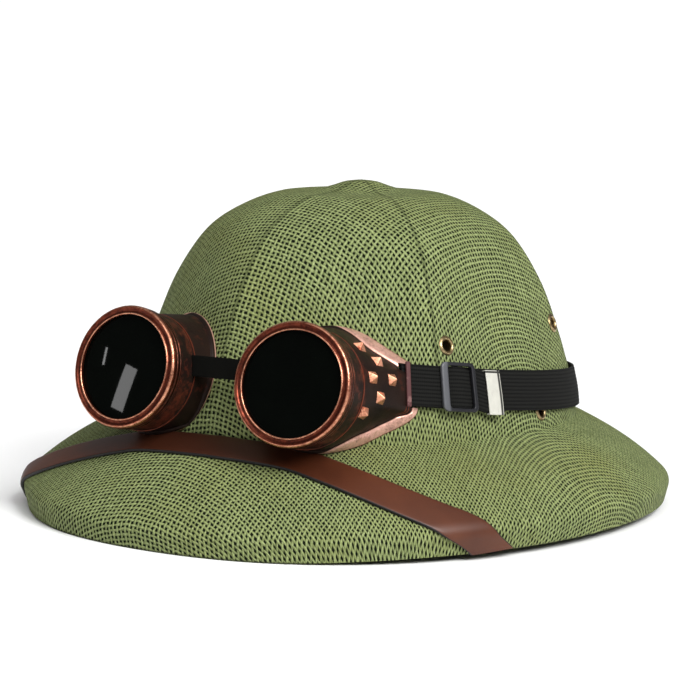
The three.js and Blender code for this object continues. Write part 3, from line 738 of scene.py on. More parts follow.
def rounded(points, radius, steps):
    """An open outline with each inner corner rounded, as an array of points."""
    points = [np.asarray(point, float) for point in points]
    outline = [points[0]]
    for before, corner, after in zip(points, points[1:], points[2:]):
        shorter = min(np.linalg.norm(corner - before), np.linalg.norm(after - corner))
        reach = min(radius, shorter / 2.01)
        start = corner + unit(before - corner) * reach
        end = corner + unit(after - corner) * reach
        outline += [bent(start, corner, end, step / steps) for step in range(steps + 1)]
    outline.append(points[-1])
    return np.array(outline)


def outline_at(outline, share):
    """Places on a flat outline, by share of its number of points: both coordinates, and the
    distance along it."""
    place = share * (len(outline) - 1)
    spot = np.arange(len(outline))
    return [np.interp(place, spot, values) for values in (*outline.T, distances(outline))]


def turned_piece(name, outline, sides, origin, axis, side_axis):
    """An outline of radius and height turned about an axis. Its UV holds the share of a turn,
    and the distance along the outline in metres."""
    axis, side_axis = unit(np.asarray(axis, float)), unit(np.asarray(side_axis, float))
    third = np.cross(axis, side_axis)

    def place(u, v):
        radius, height, _ = outline_at(outline, v)
        angle = 2 * np.pi * u
        return (
            np.asarray(origin)
            + axis * height[:, None]
            + side_axis * (radius * np.cos(angle))[:, None]
            + third * (radius * np.sin(angle))[:, None]
        )

    piece = grid_piece(name, sides, len(outline) - 1, place)
    u, v = corner_uv(piece).T
    set_uv(piece, u, outline_at(outline, v)[2])
    weld(piece)
    return piece


# Shell

SHELL_COLUMNS = 240
SHELL_ROWS = 150
SHELL_STAGES = ([0, 0.62, 0.88, 1], [0, 1, 2, 3])


def cloth_places():
    """Where each point of the shell's grid lay on the flat straw cloth before it was pressed."""
    turn, share = np.meshgrid(
        np.linspace(0, 2 * np.pi, SHELL_COLUMNS + 1), np.linspace(0, 1, SHELL_ROWS + 1),
    )
    points = shell_point(turn, np.interp(share, *SHELL_STAGES))
    steps = np.linalg.norm(np.diff(points, axis=0), axis=-1)
    walked = np.concatenate([np.zeros((1, SHELL_COLUMNS + 1)), np.cumsum(steps, axis=0)])
    angle = np.arctan2(points[..., 0], -(points[..., 1] + CROWN_SETBACK))
    sine, cosine = np.sin(angle), np.cos(angle)
    flat = from_middle(points)
    spare = walked - flat
    return sine * (flat + spare * sine ** 2), -cosine * (flat + spare * cosine ** 2)


def eyelet_spots():
    for side, label in ((1, "left"), (-1, "right")):
        for place, (turn, up) in EYELETS.items():
            turn = side * math.radians(turn)
            along = float(profile.along_height(up))
            yield f"eyelet_{place}_{label}", shell_point(turn, along), shell_normal(turn, along)


def shell_piece():
    shell = grid_piece("helmet_shell", SHELL_COLUMNS, SHELL_ROWS, lambda u, v: (
        shell_point(2 * np.pi * u, np.interp(v, *SHELL_STAGES))
    ))
    u, v = corner_uv(shell).T
    column = np.rint(u * SHELL_COLUMNS).astype(int)
    row = np.rint(v * SHELL_ROWS).astype(int)
    set_uv(shell, *(places[row, column] for places in cloth_places()))
    weld(shell)
    modify(shell, "SOLIDIFY", thickness=SHELL_WALL, offset=-1, use_even_offset=True)
    drills = []
    for _, origin, axis in eyelet_spots():
        turn = Vector((0, 0, 1)).rotation_difference(Vector(axis)).to_euler()
        bpy.ops.mesh.primitive_cylinder_add(
            vertices=32, radius=EYELET_HOLE, depth=5 * SHELL_WALL,
            location=Vector(origin), rotation=turn,
        )
        drills.append(bpy.context.object)
    drill = join(drills)
    settle(drill)
    cut(shell, drill)
    smooth_shade(shell, 50)
    return shell


def eyelet_piece(name, origin, axis):
    bore = EYELET_BORE
    back = -(SHELL_WALL + CLEARANCE + 0.6 * MM)
    outline = rounded([
        (bore, -1 * MM),
        (bore + 0.12 * MM, 0.35 * MM),
        (bore + 0.7 * MM, 0.95 * MM),
        (bore + 1.3 * MM, 0.85 * MM),
        (EYELET_FLANGE, 0.25 * MM),
        (EYELET_FLANGE - 0.1 * MM, 0.1 * MM),
        (bore + 0.4 * MM, 0.25 * MM),
        (bore + 0.4 * MM, back),
        (bore + 1.3 * MM, back),
        (bore + 0.4 * MM, back - 0.6 * MM),
        (bore, back - 0.4 * MM),
        (bore, -1 * MM),
    ], 0.25 * MM, 2)
    eyelet = turned_piece(name, outline, 40, origin, axis, np.cross(axis, (0, 0, 1)))
    smooth_shade(eyelet, 60)
    return eyelet


# Leather band

BAND_COLUMNS = 260
BAND_UV_LENGTH = 300 * MM
BAND_SECTION = np.array([
    (0.5, 0), (0.25, 0), (0.03, 0), (0, 0.1), (0, 0.75), (0.012, 0.93), (0.045, 1),
    *((step / 8, 1) for step in range(1, 8)),
    (0.955, 1), (0.988, 0.93), (1, 0.75), (1, 0.1), (0.97, 0), (0.75, 0), (0.5, 0),
])


def leather_piece():
    inner = leather_edge(-LEATHER_WIDTH / 2, BAND_COLUMNS + 1)
    outer = leather_edge(LEATHER_WIDTH / 2, BAND_COLUMNS + 1)
    spot = np.arange(BAND_COLUMNS + 1)

    def place(u, v):
        across, height, _ = outline_at(BAND_SECTION, v)
        turn, down = (
            start + (end - start) * across
            for start, end in (
                [np.interp(u * BAND_COLUMNS, spot, edge) for edge in edges]
                for edges in zip(inner, outer)
            )
        )
        along = along_at(turn, down)
        lift = CLEARANCE + (LEATHER_THICKNESS - LEATHER_FIT) * height
        return shell_point(turn, along) + shell_normal(turn, along) * lift[:, None]

    band = grid_piece("leather_band", BAND_COLUMNS, len(BAND_SECTION) - 1, place)
    u, v = corner_uv(band).T
    set_uv(band, u * BAND_UV_LENGTH, outline_at(BAND_SECTION, v)[0])
    weld(band)
    close_ends(band)
    smooth_shade(band, 60)
    return band


# Goggles

cups = {"left": Cup(1), "right": Cup(-1)}
lug_turns = {label: cup.lug_end() for label, cup in cups.items()}
SPIGOT_RADIUS = LENS_OPENING + LENS_SEAT
LENS_BACK = LENS_SETBACK + LENS_THICKNESS
STRAP_LIFT = (ELASTIC_LIFT, ELASTIC_LIFT + ELASTIC_THICKNESS)
TAIL_LIFT = (STRAP_LIFT[1] + CLEARANCE, STRAP_LIFT[1] + CLEARANCE + ELASTIC_THICKNESS)
PASSAGE_LIFT = TAIL_LIFT[1] + PASSAGE_EXTRA


def ribbon_point(cup, lug_turn, travel, across, lift):
    """A place over the elastic, by the distance along it away from the end of a cup's lug."""
    radius = np.linalg.norm(elastic_point(lug_turn, 0, ELASTIC_LIFT)[:2])
    return elastic_point(lug_turn + cup.side * np.asarray(travel) / radius, across, lift)


def ribbon_block(name, cup, lug_turn, travels, half_width, lifts):
    """A box that follows the elastic, with small bevels on its edges."""
    size = (abs(travels[1] - travels[0]), 2 * half_width, lifts[1] - lifts[0])
    block = box_piece(name, size)
    modify(block, "BEVEL", width=LUG_BEVEL, segments=2, affect="EDGES")
    subdivide(block, 5)
    flat = vertex_places(block)
    move_vertices(block, ribbon_point(
        cup, lug_turn, sum(travels) / 2 + flat[:, 0], flat[:, 1], sum(lifts) / 2 + flat[:, 2],
    ))
    weld(block)
    return block


CUP_COLUMNS = 192
PANEL_LENGTH = 32 * MM

# The cup's UV tells its material what lies where: up to 1 for the cup's own wall, from the spigot
# over the neck, the panel and the border to the inside, then its bar and its studs
STEP_ZONE = 0.31
BORDER_ZONE = 0.7
LUG_BAR_ZONE = 1.5
STUD_ZONE = 2


def off_lug(angle):
    """How far round the cup an angle is from the lug."""
    return np.abs(np.angle(np.exp(1j * (np.asarray(angle) - LUG_TURN))))


def border_arms(angle):
    """1 where the border is drawn out towards the lug, 0 round the nose."""
    return smooth(np.cos(off_lug(angle)), 0.05, 0.75)


def panel_dip(angle):
    """How far the panel falls in before the border flares out."""
    return PANEL_DIP * border_arms(angle) * (0.3 + 0.7 * smooth(off_lug(angle), *LUG_PANEL))


def cup_body(label, cup):
    """The cup's moulded wall: spigot, neck, a thin step, the flare, its border and the inside."""
    angles = np.linspace(0, 2 * np.pi, CUP_COLUMNS + 1)
    seat = cup.seat(angles, -BORDER_RISE)
    wide = border_arms(angles) * smooth(off_lug(angles), *LUG_PANEL)
    dip = panel_dip(angles)
    border = cup.seat(angles, -BORDER_RISE, CLEARANCE + BORDER_HEIGHT) - BORDER_WIDENING * wide
    inside = cup.seat(angles, CUP_WALL)
    front = LENS_BACK + CLEARANCE
    step = RING_DEPTH + CLEARANCE
    spigot = SPIGOT_RADIUS - CLEARANCE
    bore = spigot - 2 * MM
    rows = []

    def ring(radius, depth, zone):
        rows.append((cup.point(angles, radius, depth), zone))

    def wall(depth, rise, zone):
        rows.append((cup.skin(angles, depth, -rise), zone))

    ring(bore, front, 0)
    ring(spigot - 0.2 * MM, front, 0)
    ring(spigot, front + 0.2 * MM, 0)
    ring(spigot, step, 0)
    ring(NECK_RADIUS - 0.8 * MM, step, 0.02)
    ring(NECK_RADIUS - 0.2 * MM, step + 0.1 * MM, 0.04)
    ring(NECK_RADIUS, step + 0.5 * MM, 0.06)
    for share in np.linspace(0.15, 0.86, 6):
        ring(NECK_RADIUS, step + share * (NECK_LENGTH - step), 0.06 + 0.22 * share)
    ring(NECK_RADIUS, NECK_LENGTH - 1.1 * MM, 0.27)
    ring(NECK_RADIUS - 0.5 * MM, NECK_LENGTH - 0.9 * MM, 0.28)
    ring(NECK_RADIUS - 0.5 * MM, NECK_LENGTH - 0.4 * MM, 0.29)
    ring(NECK_RADIUS + 0.15 * MM, NECK_LENGTH - 0.2 * MM, 0.30)
    start = NECK_LENGTH + 0.2 * MM
    for share in np.linspace(0, 1, 26):
        rise = 0.15 * MM * (1 - share) - dip * share ** DIP_POWER
        zone = STEP_ZONE + (BORDER_ZONE - STEP_ZONE) * share
        wall(start + (border - 0.25 * MM - start) * share, rise, zone)
    for share, rise, zone in (
        (0.02, 0.35, 0.72), (0.1, 0.8, 0.75), (0.22, 1, 0.78), (0.4, 1, 0.82), (0.6, 1, 0.86),
        (0.8, 1, 0.9), (0.92, 0.9, 0.93), (0.985, 0.6, 0.95), (1, 0.3, 0.97),
    ):
        wall(border + (seat - border) * share, rise * BORDER_RISE - dip * (1 - share), zone)
    for share in np.linspace(0, 1, 20):
        sunk = dip * smooth(share, 0, 0.2) * (1 - smooth(share, 0.3, 0.9))
        wall(inside + (NECK_LENGTH - inside) * share, -CUP_WALL - sunk, 1)
    ring(bore, NECK_LENGTH - 1 * MM, 1)
    ring(bore, front, 1)
    grid = np.stack([points for points, _ in rows])
    zones = np.array([zone for _, zone in rows])
    count = len(rows) - 1

    def place(u, v):
        return grid[np.rint(v * count).astype(int), np.rint(u * CUP_COLUMNS).astype(int)]

    body = grid_piece(f"goggle_cup_{label}", CUP_COLUMNS, count, place)
    u, v = corner_uv(body).T
    set_uv(body, u, zones[np.rint(v * count).astype(int)])
    weld(body)
    return body


def stud(cup, column, row):
    """A four-sided pyramid with softened edges, standing on the cup's side."""
    depth = NECK_LENGTH + STUD_COLUMN_START + column * STUD_COLUMN_PITCH + row * STUD_TILT
    angle = STUD_MIDDLE + row * STUD_PITCH / NECK_RADIUS
    share = (depth - NECK_LENGTH) / PANEL_LENGTH
    foot = cup.skin(angle, depth, panel_dip(angle) * share ** DIP_POWER)
    across = cup.skin(angle + SLOPE_STEP, depth) - cup.skin(angle - SLOPE_STEP, depth)
    back = unit(cup.skin(angle, depth + MM) - cup.skin(angle, depth - MM))
    normal = unit(np.cross(across, back))
    if normal @ cup.outward < 0:
        normal = -normal
    sideways = np.cross(normal, back)
    bpy.ops.object.select_all(action="DESELECT")
    bpy.ops.mesh.primitive_cone_add(
        vertices=4, radius1=STUD_SIZE / math.sqrt(2), radius2=STUD_TIP,
        depth=STUD_HEIGHT + STUD_ROOT, location=(0, 0, (STUD_HEIGHT - STUD_ROOT) / 2),
        rotation=(0, 0, math.radians(45)),
    )
    piece = bpy.context.object
    settle(piece)
    modify(piece, "BEVEL", width=STUD_BEVEL, segments=3, affect="EDGES", limit_method="ANGLE")
    piece.data.transform(frame_matrix(foot, sideways, back, normal))
    height = (vertex_places(piece) - foot) @ normal / STUD_HEIGHT
    set_uv(piece, 0.5, STUD_ZONE + np.clip(height[corner_vertices(piece)], 0, 1))
    weld(piece)
    return piece


def cup_piece(label, cup):
    body = cup_body(label, cup)
    lug_turn = lug_turns[label]
    half = ELASTIC_WIDTH / 2 + PASSAGE_EXTRA
    passage = ribbon_block(
        "passage", cup, lug_turn, (-ELASTIC_INSERT - CLEARANCE, 2 * ELASTIC_INSERT), half,
        (-CUP_WALL, PASSAGE_LIFT),
    )
    cut(body, passage)
    bar = ribbon_block(
        "lug_bar", cup, lug_turn, (-LUG_BAR_SETBACK - LUG_BAR_WIDTH, -LUG_BAR_SETBACK),
        half + LUG_BAR_OVERLAP, (PASSAGE_LIFT, PASSAGE_LIFT + LUG_BAR_THICKNESS),
    )
    zones = np.full(len(bar.data.loops), LUG_BAR_ZONE)
    set_uv(bar, LUG_TURN / (2 * math.pi), zones)
    parts = [body, bar]
    for column, rows in enumerate(STUD_COLUMNS):
        parts += [stud(cup, column, row) for row in rows]
    whole = join(parts)
    smooth_shade(whole, 38)
    return whole


def ring_piece(label, cup):
    """The screw-on ring: a bead round the lens, a shallow band, an outer bead and the barrel."""
    lip, outer = LENS_OPENING, RING_RADIUS
    inside = SPIGOT_RADIUS + CLEARANCE
    outline = rounded([
        (inside, -(LENS_SETBACK - CLEARANCE)),
        (lip, -(LENS_SETBACK - CLEARANCE)),
        (lip, -0.3 * MM),
        (lip + 0.3 * MM, 0),
        (lip + 0.65 * MM, -0.12 * MM),
        (lip + 0.95 * MM, -0.6 * MM),
        (outer - 2.2 * MM, -0.8 * MM),
        (outer - 1.8 * MM, -0.35 * MM),
        (outer - 1.1 * MM, -0.1 * MM),
        (outer - 0.45 * MM, -0.45 * MM),
        (outer - 0.05 * MM, -1.2 * MM),
        (outer, -2 * MM),
        (outer - 0.05 * MM, -2.9 * MM),
        (outer - 0.5 * MM, -3.2 * MM),
        (outer - 0.5 * MM, -3.6 * MM),
        (outer - 0.15 * MM, -3.9 * MM),
        (outer - 0.15 * MM, 1.7 * MM - RING_DEPTH),
        (outer - 0.4 * MM, 1.5 * MM - RING_DEPTH),
        (outer - 0.4 * MM, 1.2 * MM - RING_DEPTH),
        (outer - 0.15 * MM, 1 * MM - RING_DEPTH),
        (outer - 0.15 * MM, 0.3 * MM - RING_DEPTH),
        (outer - 0.5 * MM, -RING_DEPTH),
        (inside, -RING_DEPTH),
        (inside, -(LENS_SETBACK - CLEARANCE)),
    ], 0.3 * MM, 3)
    ring = turned_piece(f"lens_ring_{label}", outline, 160, cup.centre, cup.forward, cup.up)
    crest = distances(outline)[np.argmax(outline[:, 1])]
    u, v = corner_uv(ring).T
    set_uv(ring, u, v - crest)
    smooth_shade(ring, 50)
    return ring


def lens_piece(label, cup):
    edge = LENS_OPENING - 0.1 * MM
    reach = 1 + 0.3 * MM / edge
    outline = [
        (edge * share, -LENS_SETBACK + LENS_CROWN * (1 - share ** 2))
        for share in (*np.linspace(0, 1, 13), reach)
    ]
    outline += [
        (SPIGOT_RADIUS, outline[-1][1]),
        (SPIGOT_RADIUS, -LENS_BACK),
        (edge * 0.5, -LENS_BACK),
        (0, -LENS_BACK),
    ]
    lens = turned_piece(f"lens_{label}", np.array(outline), 128, cup.centre, cup.forward, cup.up)
    smooth_shade(lens, 30)
    return lens


def bridge_piece():
    """The strap between the necks, its ends following their round."""
    left, right = cups["left"], cups["right"]
    ends = [
        cup.point(math.pi - BRIDGE_ANGLE, NECK_RADIUS, BRIDGE_SETBACK) for cup in (right, left)
    ]
    along = unit(ends[1] - ends[0])
    up = unit(right.up + left.up)
    out = unit(np.cross(along, up))
    section = rounded([
        (0, -1), (-1, -1), (-1, 1), (0, 1), (1, 1), (1, -1), (0, -1),
    ], 0.25, 3)
    section = section * [BRIDGE_WIDTH / 2, BRIDGE_THICKNESS / 2]

    def reach(cup, points, direction):
        """How far each point can go before it meets the cup's neck."""
        def touches(travel):
            spot = points + direction * travel[:, None] - cup.centre
            radial = spot - (spot @ cup.forward)[:, None] * cup.forward
            return np.linalg.norm(radial, axis=1) <= NECK_RADIUS + CLEARANCE

        none = np.zeros(len(points))
        return narrowed(none, none + 40 * MM, touches, 30)[0]

    middle = (ends[0] + ends[1]) / 2

    def place(u, v):
        across, depth, _ = outline_at(section, v)
        points = middle + up * across[:, None] + out * depth[:, None]
        low = -reach(right, points, -along)
        high = reach(left, points, along)
        travel = low + (high - low) * u
        return points + along * travel[:, None]

    bridge = grid_piece("bridge_strap", 24, len(section) - 1, place)
    u, v = corner_uv(bridge).T
    set_uv(bridge, u * BRIDGE_UV_LENGTH, outline_at(section, v)[0])
    weld(bridge)
    close_ends(bridge)
    smooth_shade(bridge, 50)
    return bridge


# Elastic, tail, slider and clip

RIBS = 11
RIB_DEPTH = 0.14 * MM
ELASTIC_COLUMNS = 260


def ribbed_section(half_width, thickness):
    """A strap's closed section from its underside's middle, with ribs along both faces."""
    count = RIBS * 6
    across = np.linspace(-1, 1, count + 1)[1:-1]
    ribs = RIB_DEPTH * np.abs(np.cos(np.pi * RIBS / 2 * (across + 1))) ** 0.7
    top = [(x * half_width, thickness - RIB_DEPTH + rise) for x, rise in zip(across, ribs)]
    bottom = [(x * half_width, RIB_DEPTH - rise) for x, rise in zip(across, ribs)][::-1]
    right = [(half_width, thickness * 0.75), (half_width, thickness * 0.25)]
    left = [(-half_width, thickness * 0.25), (-half_width, thickness * 0.75)]
    whole = top + right + bottom + left
    return np.array(whole + whole[:1])


def swept_strap(name, turns, section, lift, lean):
    """A strap's section carried round the crown, raised by lift and lowered by lean."""
    spot = np.arange(len(turns))
    columns = len(turns) - 1

    def place(u, v):
        across, height, _ = outline_at(section, v)
        turn, rise, drop = (np.interp(u * columns, spot, values) for values in (turns, lift, lean))
        return elastic_point(turn, across - drop, rise + height)

    piece = grid_piece(name, columns, len(section) - 1, place)
    u, v = corner_uv(piece).T
    walked = distances(elastic_point(turns, 0, ELASTIC_LIFT))
    set_uv(piece, np.interp(u * columns, spot, walked), outline_at(section, v)[0])
    weld(piece)
    close_ends(piece)
    smooth_shade(piece, 70)
    return piece


def elastic_piece():
    radius = np.linalg.norm(elastic_point(lug_turns["left"], 0, ELASTIC_LIFT)[:2])
    insert = (ELASTIC_INSERT - CLEARANCE) / radius
    start, end = lug_turns["left"] - insert, 2 * np.pi + lug_turns["right"] + insert
    turns = np.linspace(start, end, ELASTIC_COLUMNS + 1)
    section = ribbed_section(ELASTIC_WIDTH / 2, ELASTIC_THICKNESS)
    return swept_strap("goggle_strap", turns, section, STRAP_LIFT[0] + 0 * turns, 0 * turns)


def turns_from_lug(travels):
    """Turns of the crown for distances round it from the left lug, towards the back."""
    turns = np.linspace(lug_turns["left"] - 0.3, lug_turns["left"] + 0.9, 601)
    walked = distances(elastic_point(turns, 0, ELASTIC_LIFT))
    walked -= np.interp(lug_turns["left"], turns, walked)
    return np.interp(travels, walked, turns)


SLIDER_END = SLIDER_START + SLIDER_LENGTH
SLIDER_MIDDLE = SLIDER_START + SLIDER_LENGTH / 2


def tail_piece():
    """The doubled end: under both side bars of the slider, over its middle bar, to the clip."""
    end = CLIP_START + CLIP_LENGTH - CLIP_THICKNESS - CLEARANCE
    travels = np.linspace(CLEARANCE - ELASTIC_INSERT, end, 110)
    hump = CLEARANCE + SLIDER_THICKNESS / 2
    raised = (
        smooth(travels, SLIDER_START + SLIDER_SIDE_BAR, SLIDER_MIDDLE - SLIDER_CENTRE_BAR / 2)
        - smooth(travels, SLIDER_MIDDLE + SLIDER_CENTRE_BAR / 2, SLIDER_END - SLIDER_FAR_BAR)
    )
    before_clip = CLIP_START - CLEARANCE
    droop = TAIL_DROOP * np.clip((travels - SLIDER_END) / (before_clip - SLIDER_END), 0, 1)
    section = ribbed_section(ELASTIC_WIDTH / 2 - TAIL_FIT, ELASTIC_THICKNESS - TAIL_FIT)
    lift = TAIL_LIFT[0] + hump * raised
    return swept_strap("strap_tail", turns_from_lug(travels), section, lift, droop)


def on_tail(piece):
    """Bends a piece modelled flat, by travel, across and lift, round the crown. Its UV keeps
    the travel and the place across, in metres."""
    travel, across, lift = vertex_places(piece).T
    move_vertices(piece, elastic_point(turns_from_lug(travel), across, lift))
    index = corner_vertices(piece)
    set_uv(piece, travel[index], across[index])
    weld(piece)
    return piece


def frame_loop(name, centre, half, corner, bars, lifts):
    """A rounded rectangular loop with rounded bars: bars gives the near, far and edge widths."""
    near, far, edge = bars
    steps = 8
    wide = corner * 0.55
    outer, inner = [], []
    for index, (x, y) in enumerate([(1, 1), (-1, 1), (-1, -1), (1, -1)]):
        bar = far if x > 0 else near
        for step in range(steps + 1):
            angle = math.pi / 2 * (index + step / steps)
            outer.append((
                centre + x * (half[0] - corner) + corner * math.cos(angle),
                y * (half[1] - corner) + corner * math.sin(angle),
            ))
            inner.append((
                centre + x * (half[0] - bar - wide) + wide * math.cos(angle),
                y * (half[1] - edge - wide) + wide * math.sin(angle),
            ))
    outer, inner = np.array(outer + outer[:1]), np.array(inner + inner[:1])
    section = rounded([(0, 0.5), (0, 1), (1, 1), (1, 0), (0, 0), (0, 0.5)], 0.28, 4)
    columns = len(outer) - 1

    def place(u, v):
        share, height, _ = outline_at(section, v)
        index = np.rint(u * columns).astype(int)
        flat = inner[index] + (outer[index] - inner[index]) * share[:, None]
        lift = lifts[0] + (lifts[1] - lifts[0]) * height
        return np.stack([flat[:, 0], flat[:, 1], lift], axis=-1)

    piece = grid_piece(name, columns, len(section) - 1, place)
    weld(piece)
    return piece


def slider_piece():
    low = TAIL_LIFT[1] + CLEARANCE
    loop = frame_loop(
        "strap_slider", SLIDER_MIDDLE, (SLIDER_LENGTH / 2, SLIDER_WIDTH / 2), SLIDER_CORNER,
        (SLIDER_SIDE_BAR, SLIDER_FAR_BAR, SLIDER_EDGE_BAR), (low, low + SLIDER_THICKNESS),
    )
    bar = box_piece(
        "middle_bar", (SLIDER_CENTRE_BAR, SLIDER_WIDTH - 2 * CLEARANCE, SLIDER_THICKNESS / 2),
        (SLIDER_MIDDLE, 0, TAIL_LIFT[0] + SLIDER_THICKNESS / 4),
    )
    modify(bar, "BEVEL", width=SLIDER_BEVEL, segments=3)
    struts = []
    height = low + SLIDER_THICKNESS * 0.6 - TAIL_LIFT[0]
    for side in (1, -1):
        across = side * (SLIDER_WIDTH - SLIDER_EDGE_BAR) / 2
        strut = box_piece(
            "strut", (SLIDER_CENTRE_BAR, SLIDER_EDGE_BAR * 0.75, height),
            (SLIDER_MIDDLE, across, TAIL_LIFT[0] + height / 2),
        )
        modify(strut, "BEVEL", width=STRUT_BEVEL, segments=2)
        struts.append(strut)
    slider = on_tail(join([loop, bar, *struts]))
    smooth_shade(slider, 50)
    return slider


def clip_piece():
    """A sheet folded round the tail's end: a face plate with its edges and its end turned in."""
    low, high = TAIL_LIFT[0] + TAIL_FIT, TAIL_LIFT[1] + CLEARANCE + CLIP_THICKNESS
    clip = box_piece(
        "strap_end_clip", (CLIP_LENGTH, CLIP_WIDTH, high - low),
        (CLIP_START + CLIP_LENGTH / 2, -TAIL_DROOP, (low + high) / 2),
    )
    start_edit(clip, "DESELECT")
    end_edit()
    for face in clip.data.polygons:
        face.select = face.normal.z < -0.5 or face.normal.x < -0.5
    bpy.ops.object.mode_set(mode="EDIT")
    bpy.ops.mesh.delete(type="FACE")
    end_edit()
    modify(clip, "SOLIDIFY", thickness=CLIP_THICKNESS, offset=-1, use_even_offset=True)
    modify(clip, "BEVEL", width=CLIP_BEVEL, segments=3, limit_method="ANGLE")
    subdivide(clip, 3)
    on_tail(clip)
    smooth_shade(clip, 40)
    return clip


# Shader maths

def math_node(operation):
    """A method that adds one Math node."""
    return lambda self, *others: self.math(operation, *others)


class Value:
    """A socket of a material's nodes. Sums and products of values add Math nodes."""

    def __init__(self, finish, socket):
        self.finish = finish
        self.socket = socket

    def math(self, operation, *others, clamp=False):
        settings = {"operation": operation, "use_clamp": clamp}
        return self.finish.node("ShaderNodeMath", settings, dict(enumerate((self, *others))))

    __add__ = __radd__ = math_node("ADD")
    __sub__ = math_node("SUBTRACT")
    __mul__ = __rmul__ = math_node("MULTIPLY")
    __truediv__ = math_node("DIVIDE")
    __pow__ = math_node("POWER")
    abs = math_node("ABSOLUTE")
    fract = math_node("FRACT")
    floor = math_node("FLOOR")
    sin = math_node("SINE")
    cos = math_node("COSINE")
    max = math_node("MAXIMUM")
    min = math_node("MINIMUM")

    def __rsub__(self, other):
        return self * -1 + other

    def clamp(self):
        return self.math("ADD", 0, clamp=True)

    def step(self, low, high):
        """A smooth step from 0 at low to 1 at high."""
        settings = {"interpolation_type": "SMOOTHSTEP"}
        sockets = {"Value": self, "From Min": low, "From Max": high}
        return self.finish.node("ShaderNodeMapRange", settings, sockets)

    def band(self, middle, half, soft):
        """1 within half of middle, falling to 0 over soft on both sides."""
        return 1 - (self - middle).abs().step(half, half + soft)

    def axis(self, name):
        return self.finish.node("ShaderNodeSeparateXYZ", {}, {0: self}, name)


class Finish:
    """A material under its own name, with a Principled shader."""

    def __init__(self, name):
        self.material = bpy.data.materials.new(name)
        self.material.use_nodes = True
        self.tree = self.material.node_tree
        self.shader = self.tree.nodes["Principled BSDF"]

    def node(self, kind, settings, sockets, output=0):
        node = self.tree.nodes.new(kind)
        for key, value in settings.items():
            setattr(node, key, value)
        for key, value in sockets.items():
            self.plug(node.inputs[key], value)
        return Value(self, node.outputs[output])

    def plug(self, socket, value):
        if isinstance(value, Value):
            self.tree.links.new(value.socket, socket)
        elif isinstance(value, tuple) and len(value) == 3 and socket.type == "RGBA":
            socket.default_value = (*value, 1)
        else:
            socket.default_value = value

    def set(self, **values):
        for key, value in values.items():
            label = key.replace("_", " ").title().replace("Ior", "IOR")
            self.plug(self.shader.inputs[label], value)
        return self.material

    def uv(self):
        return self.node("ShaderNodeTexCoord", {}, {}, "UV")

    def place(self):
        return self.node("ShaderNodeTexCoord", {}, {}, "Object")

    def vector(self, x, y, z=0):
        return self.node("ShaderNodeCombineXYZ", {}, {0: x, 1: y, 2: z})

    def noise(self, vector, scale, detail=2, roughness=0.5):
        sockets = {"Vector": vector, "Scale": scale, "Detail": detail, "Roughness": roughness}
        return self.node("ShaderNodeTexNoise", {}, sockets)

    def speckle(self, vector, scale):
        """Distance from the nearest of many scattered points."""
        return self.node("ShaderNodeTexVoronoi", {}, {"Vector": vector, "Scale": scale})

    def cell(self, vector):
        return self.node("ShaderNodeTexWhiteNoise", {}, {"Vector": vector})

    def mix(self, low, high, factor):
        settings = {"data_type": "RGBA", "clamp_factor": True}
        return self.node("ShaderNodeMix", settings, {0: factor, 6: low, 7: high}, 2)

    def bump(self, height, distance, strength=1):
        sockets = {"Height": height, "Distance": distance, "Strength": strength}
        return self.node("ShaderNodeBump", {}, sockets, "Normal")


# Materials

WEAVE_PITCH = 2.25 * MM

# The straws' wander and kinks in pitches, and how round they are
WANDER = 0.9
KINK = 0.34
STRAW_ROUNDNESS = 3.1

# The painted shade along the creases: its line's half width and its soft edge, and how far above
# the crown's base it begins and is full. The foot darkens over the same kind of step.
CREASE_SHADE_WIDTHS = (0.3 * MM, 1.3 * MM)
CREASE_SHADE_RISES = (12 * MM, 30 * MM)
FOOT_RISES = (0.3 * MM, 1.5 * MM)

# Where painted shade darkens the leather under the goggles, along its UV
GOGGLE_SHADE_MIDDLE = 145 * MM
GOGGLE_SHADE_CORE = 12 * MM
GOGGLE_SHADE_REACH = 70 * MM


def crease_shade_line(place):
    """The painted shade's mask: 1 along the six creases of the crown, by Object coordinates."""
    side = place.axis("X").abs()
    back = place.axis("Y") + CROWN_SETBACK
    nearest = side
    for turn in (math.pi / 3, math.pi * 2 / 3):
        x, y = (float(value) for value in unit(crown_oval(turn, 1) + [0, CROWN_SETBACK, 0])[:2])
        nearest = nearest.min((side * y - back * x).abs())
    height = place.axis("Z")
    crown = height.step(*(CROWN_BASE + rise for rise in CREASE_SHADE_RISES))
    return (1 - nearest.step(*CREASE_SHADE_WIDTHS)) * crown


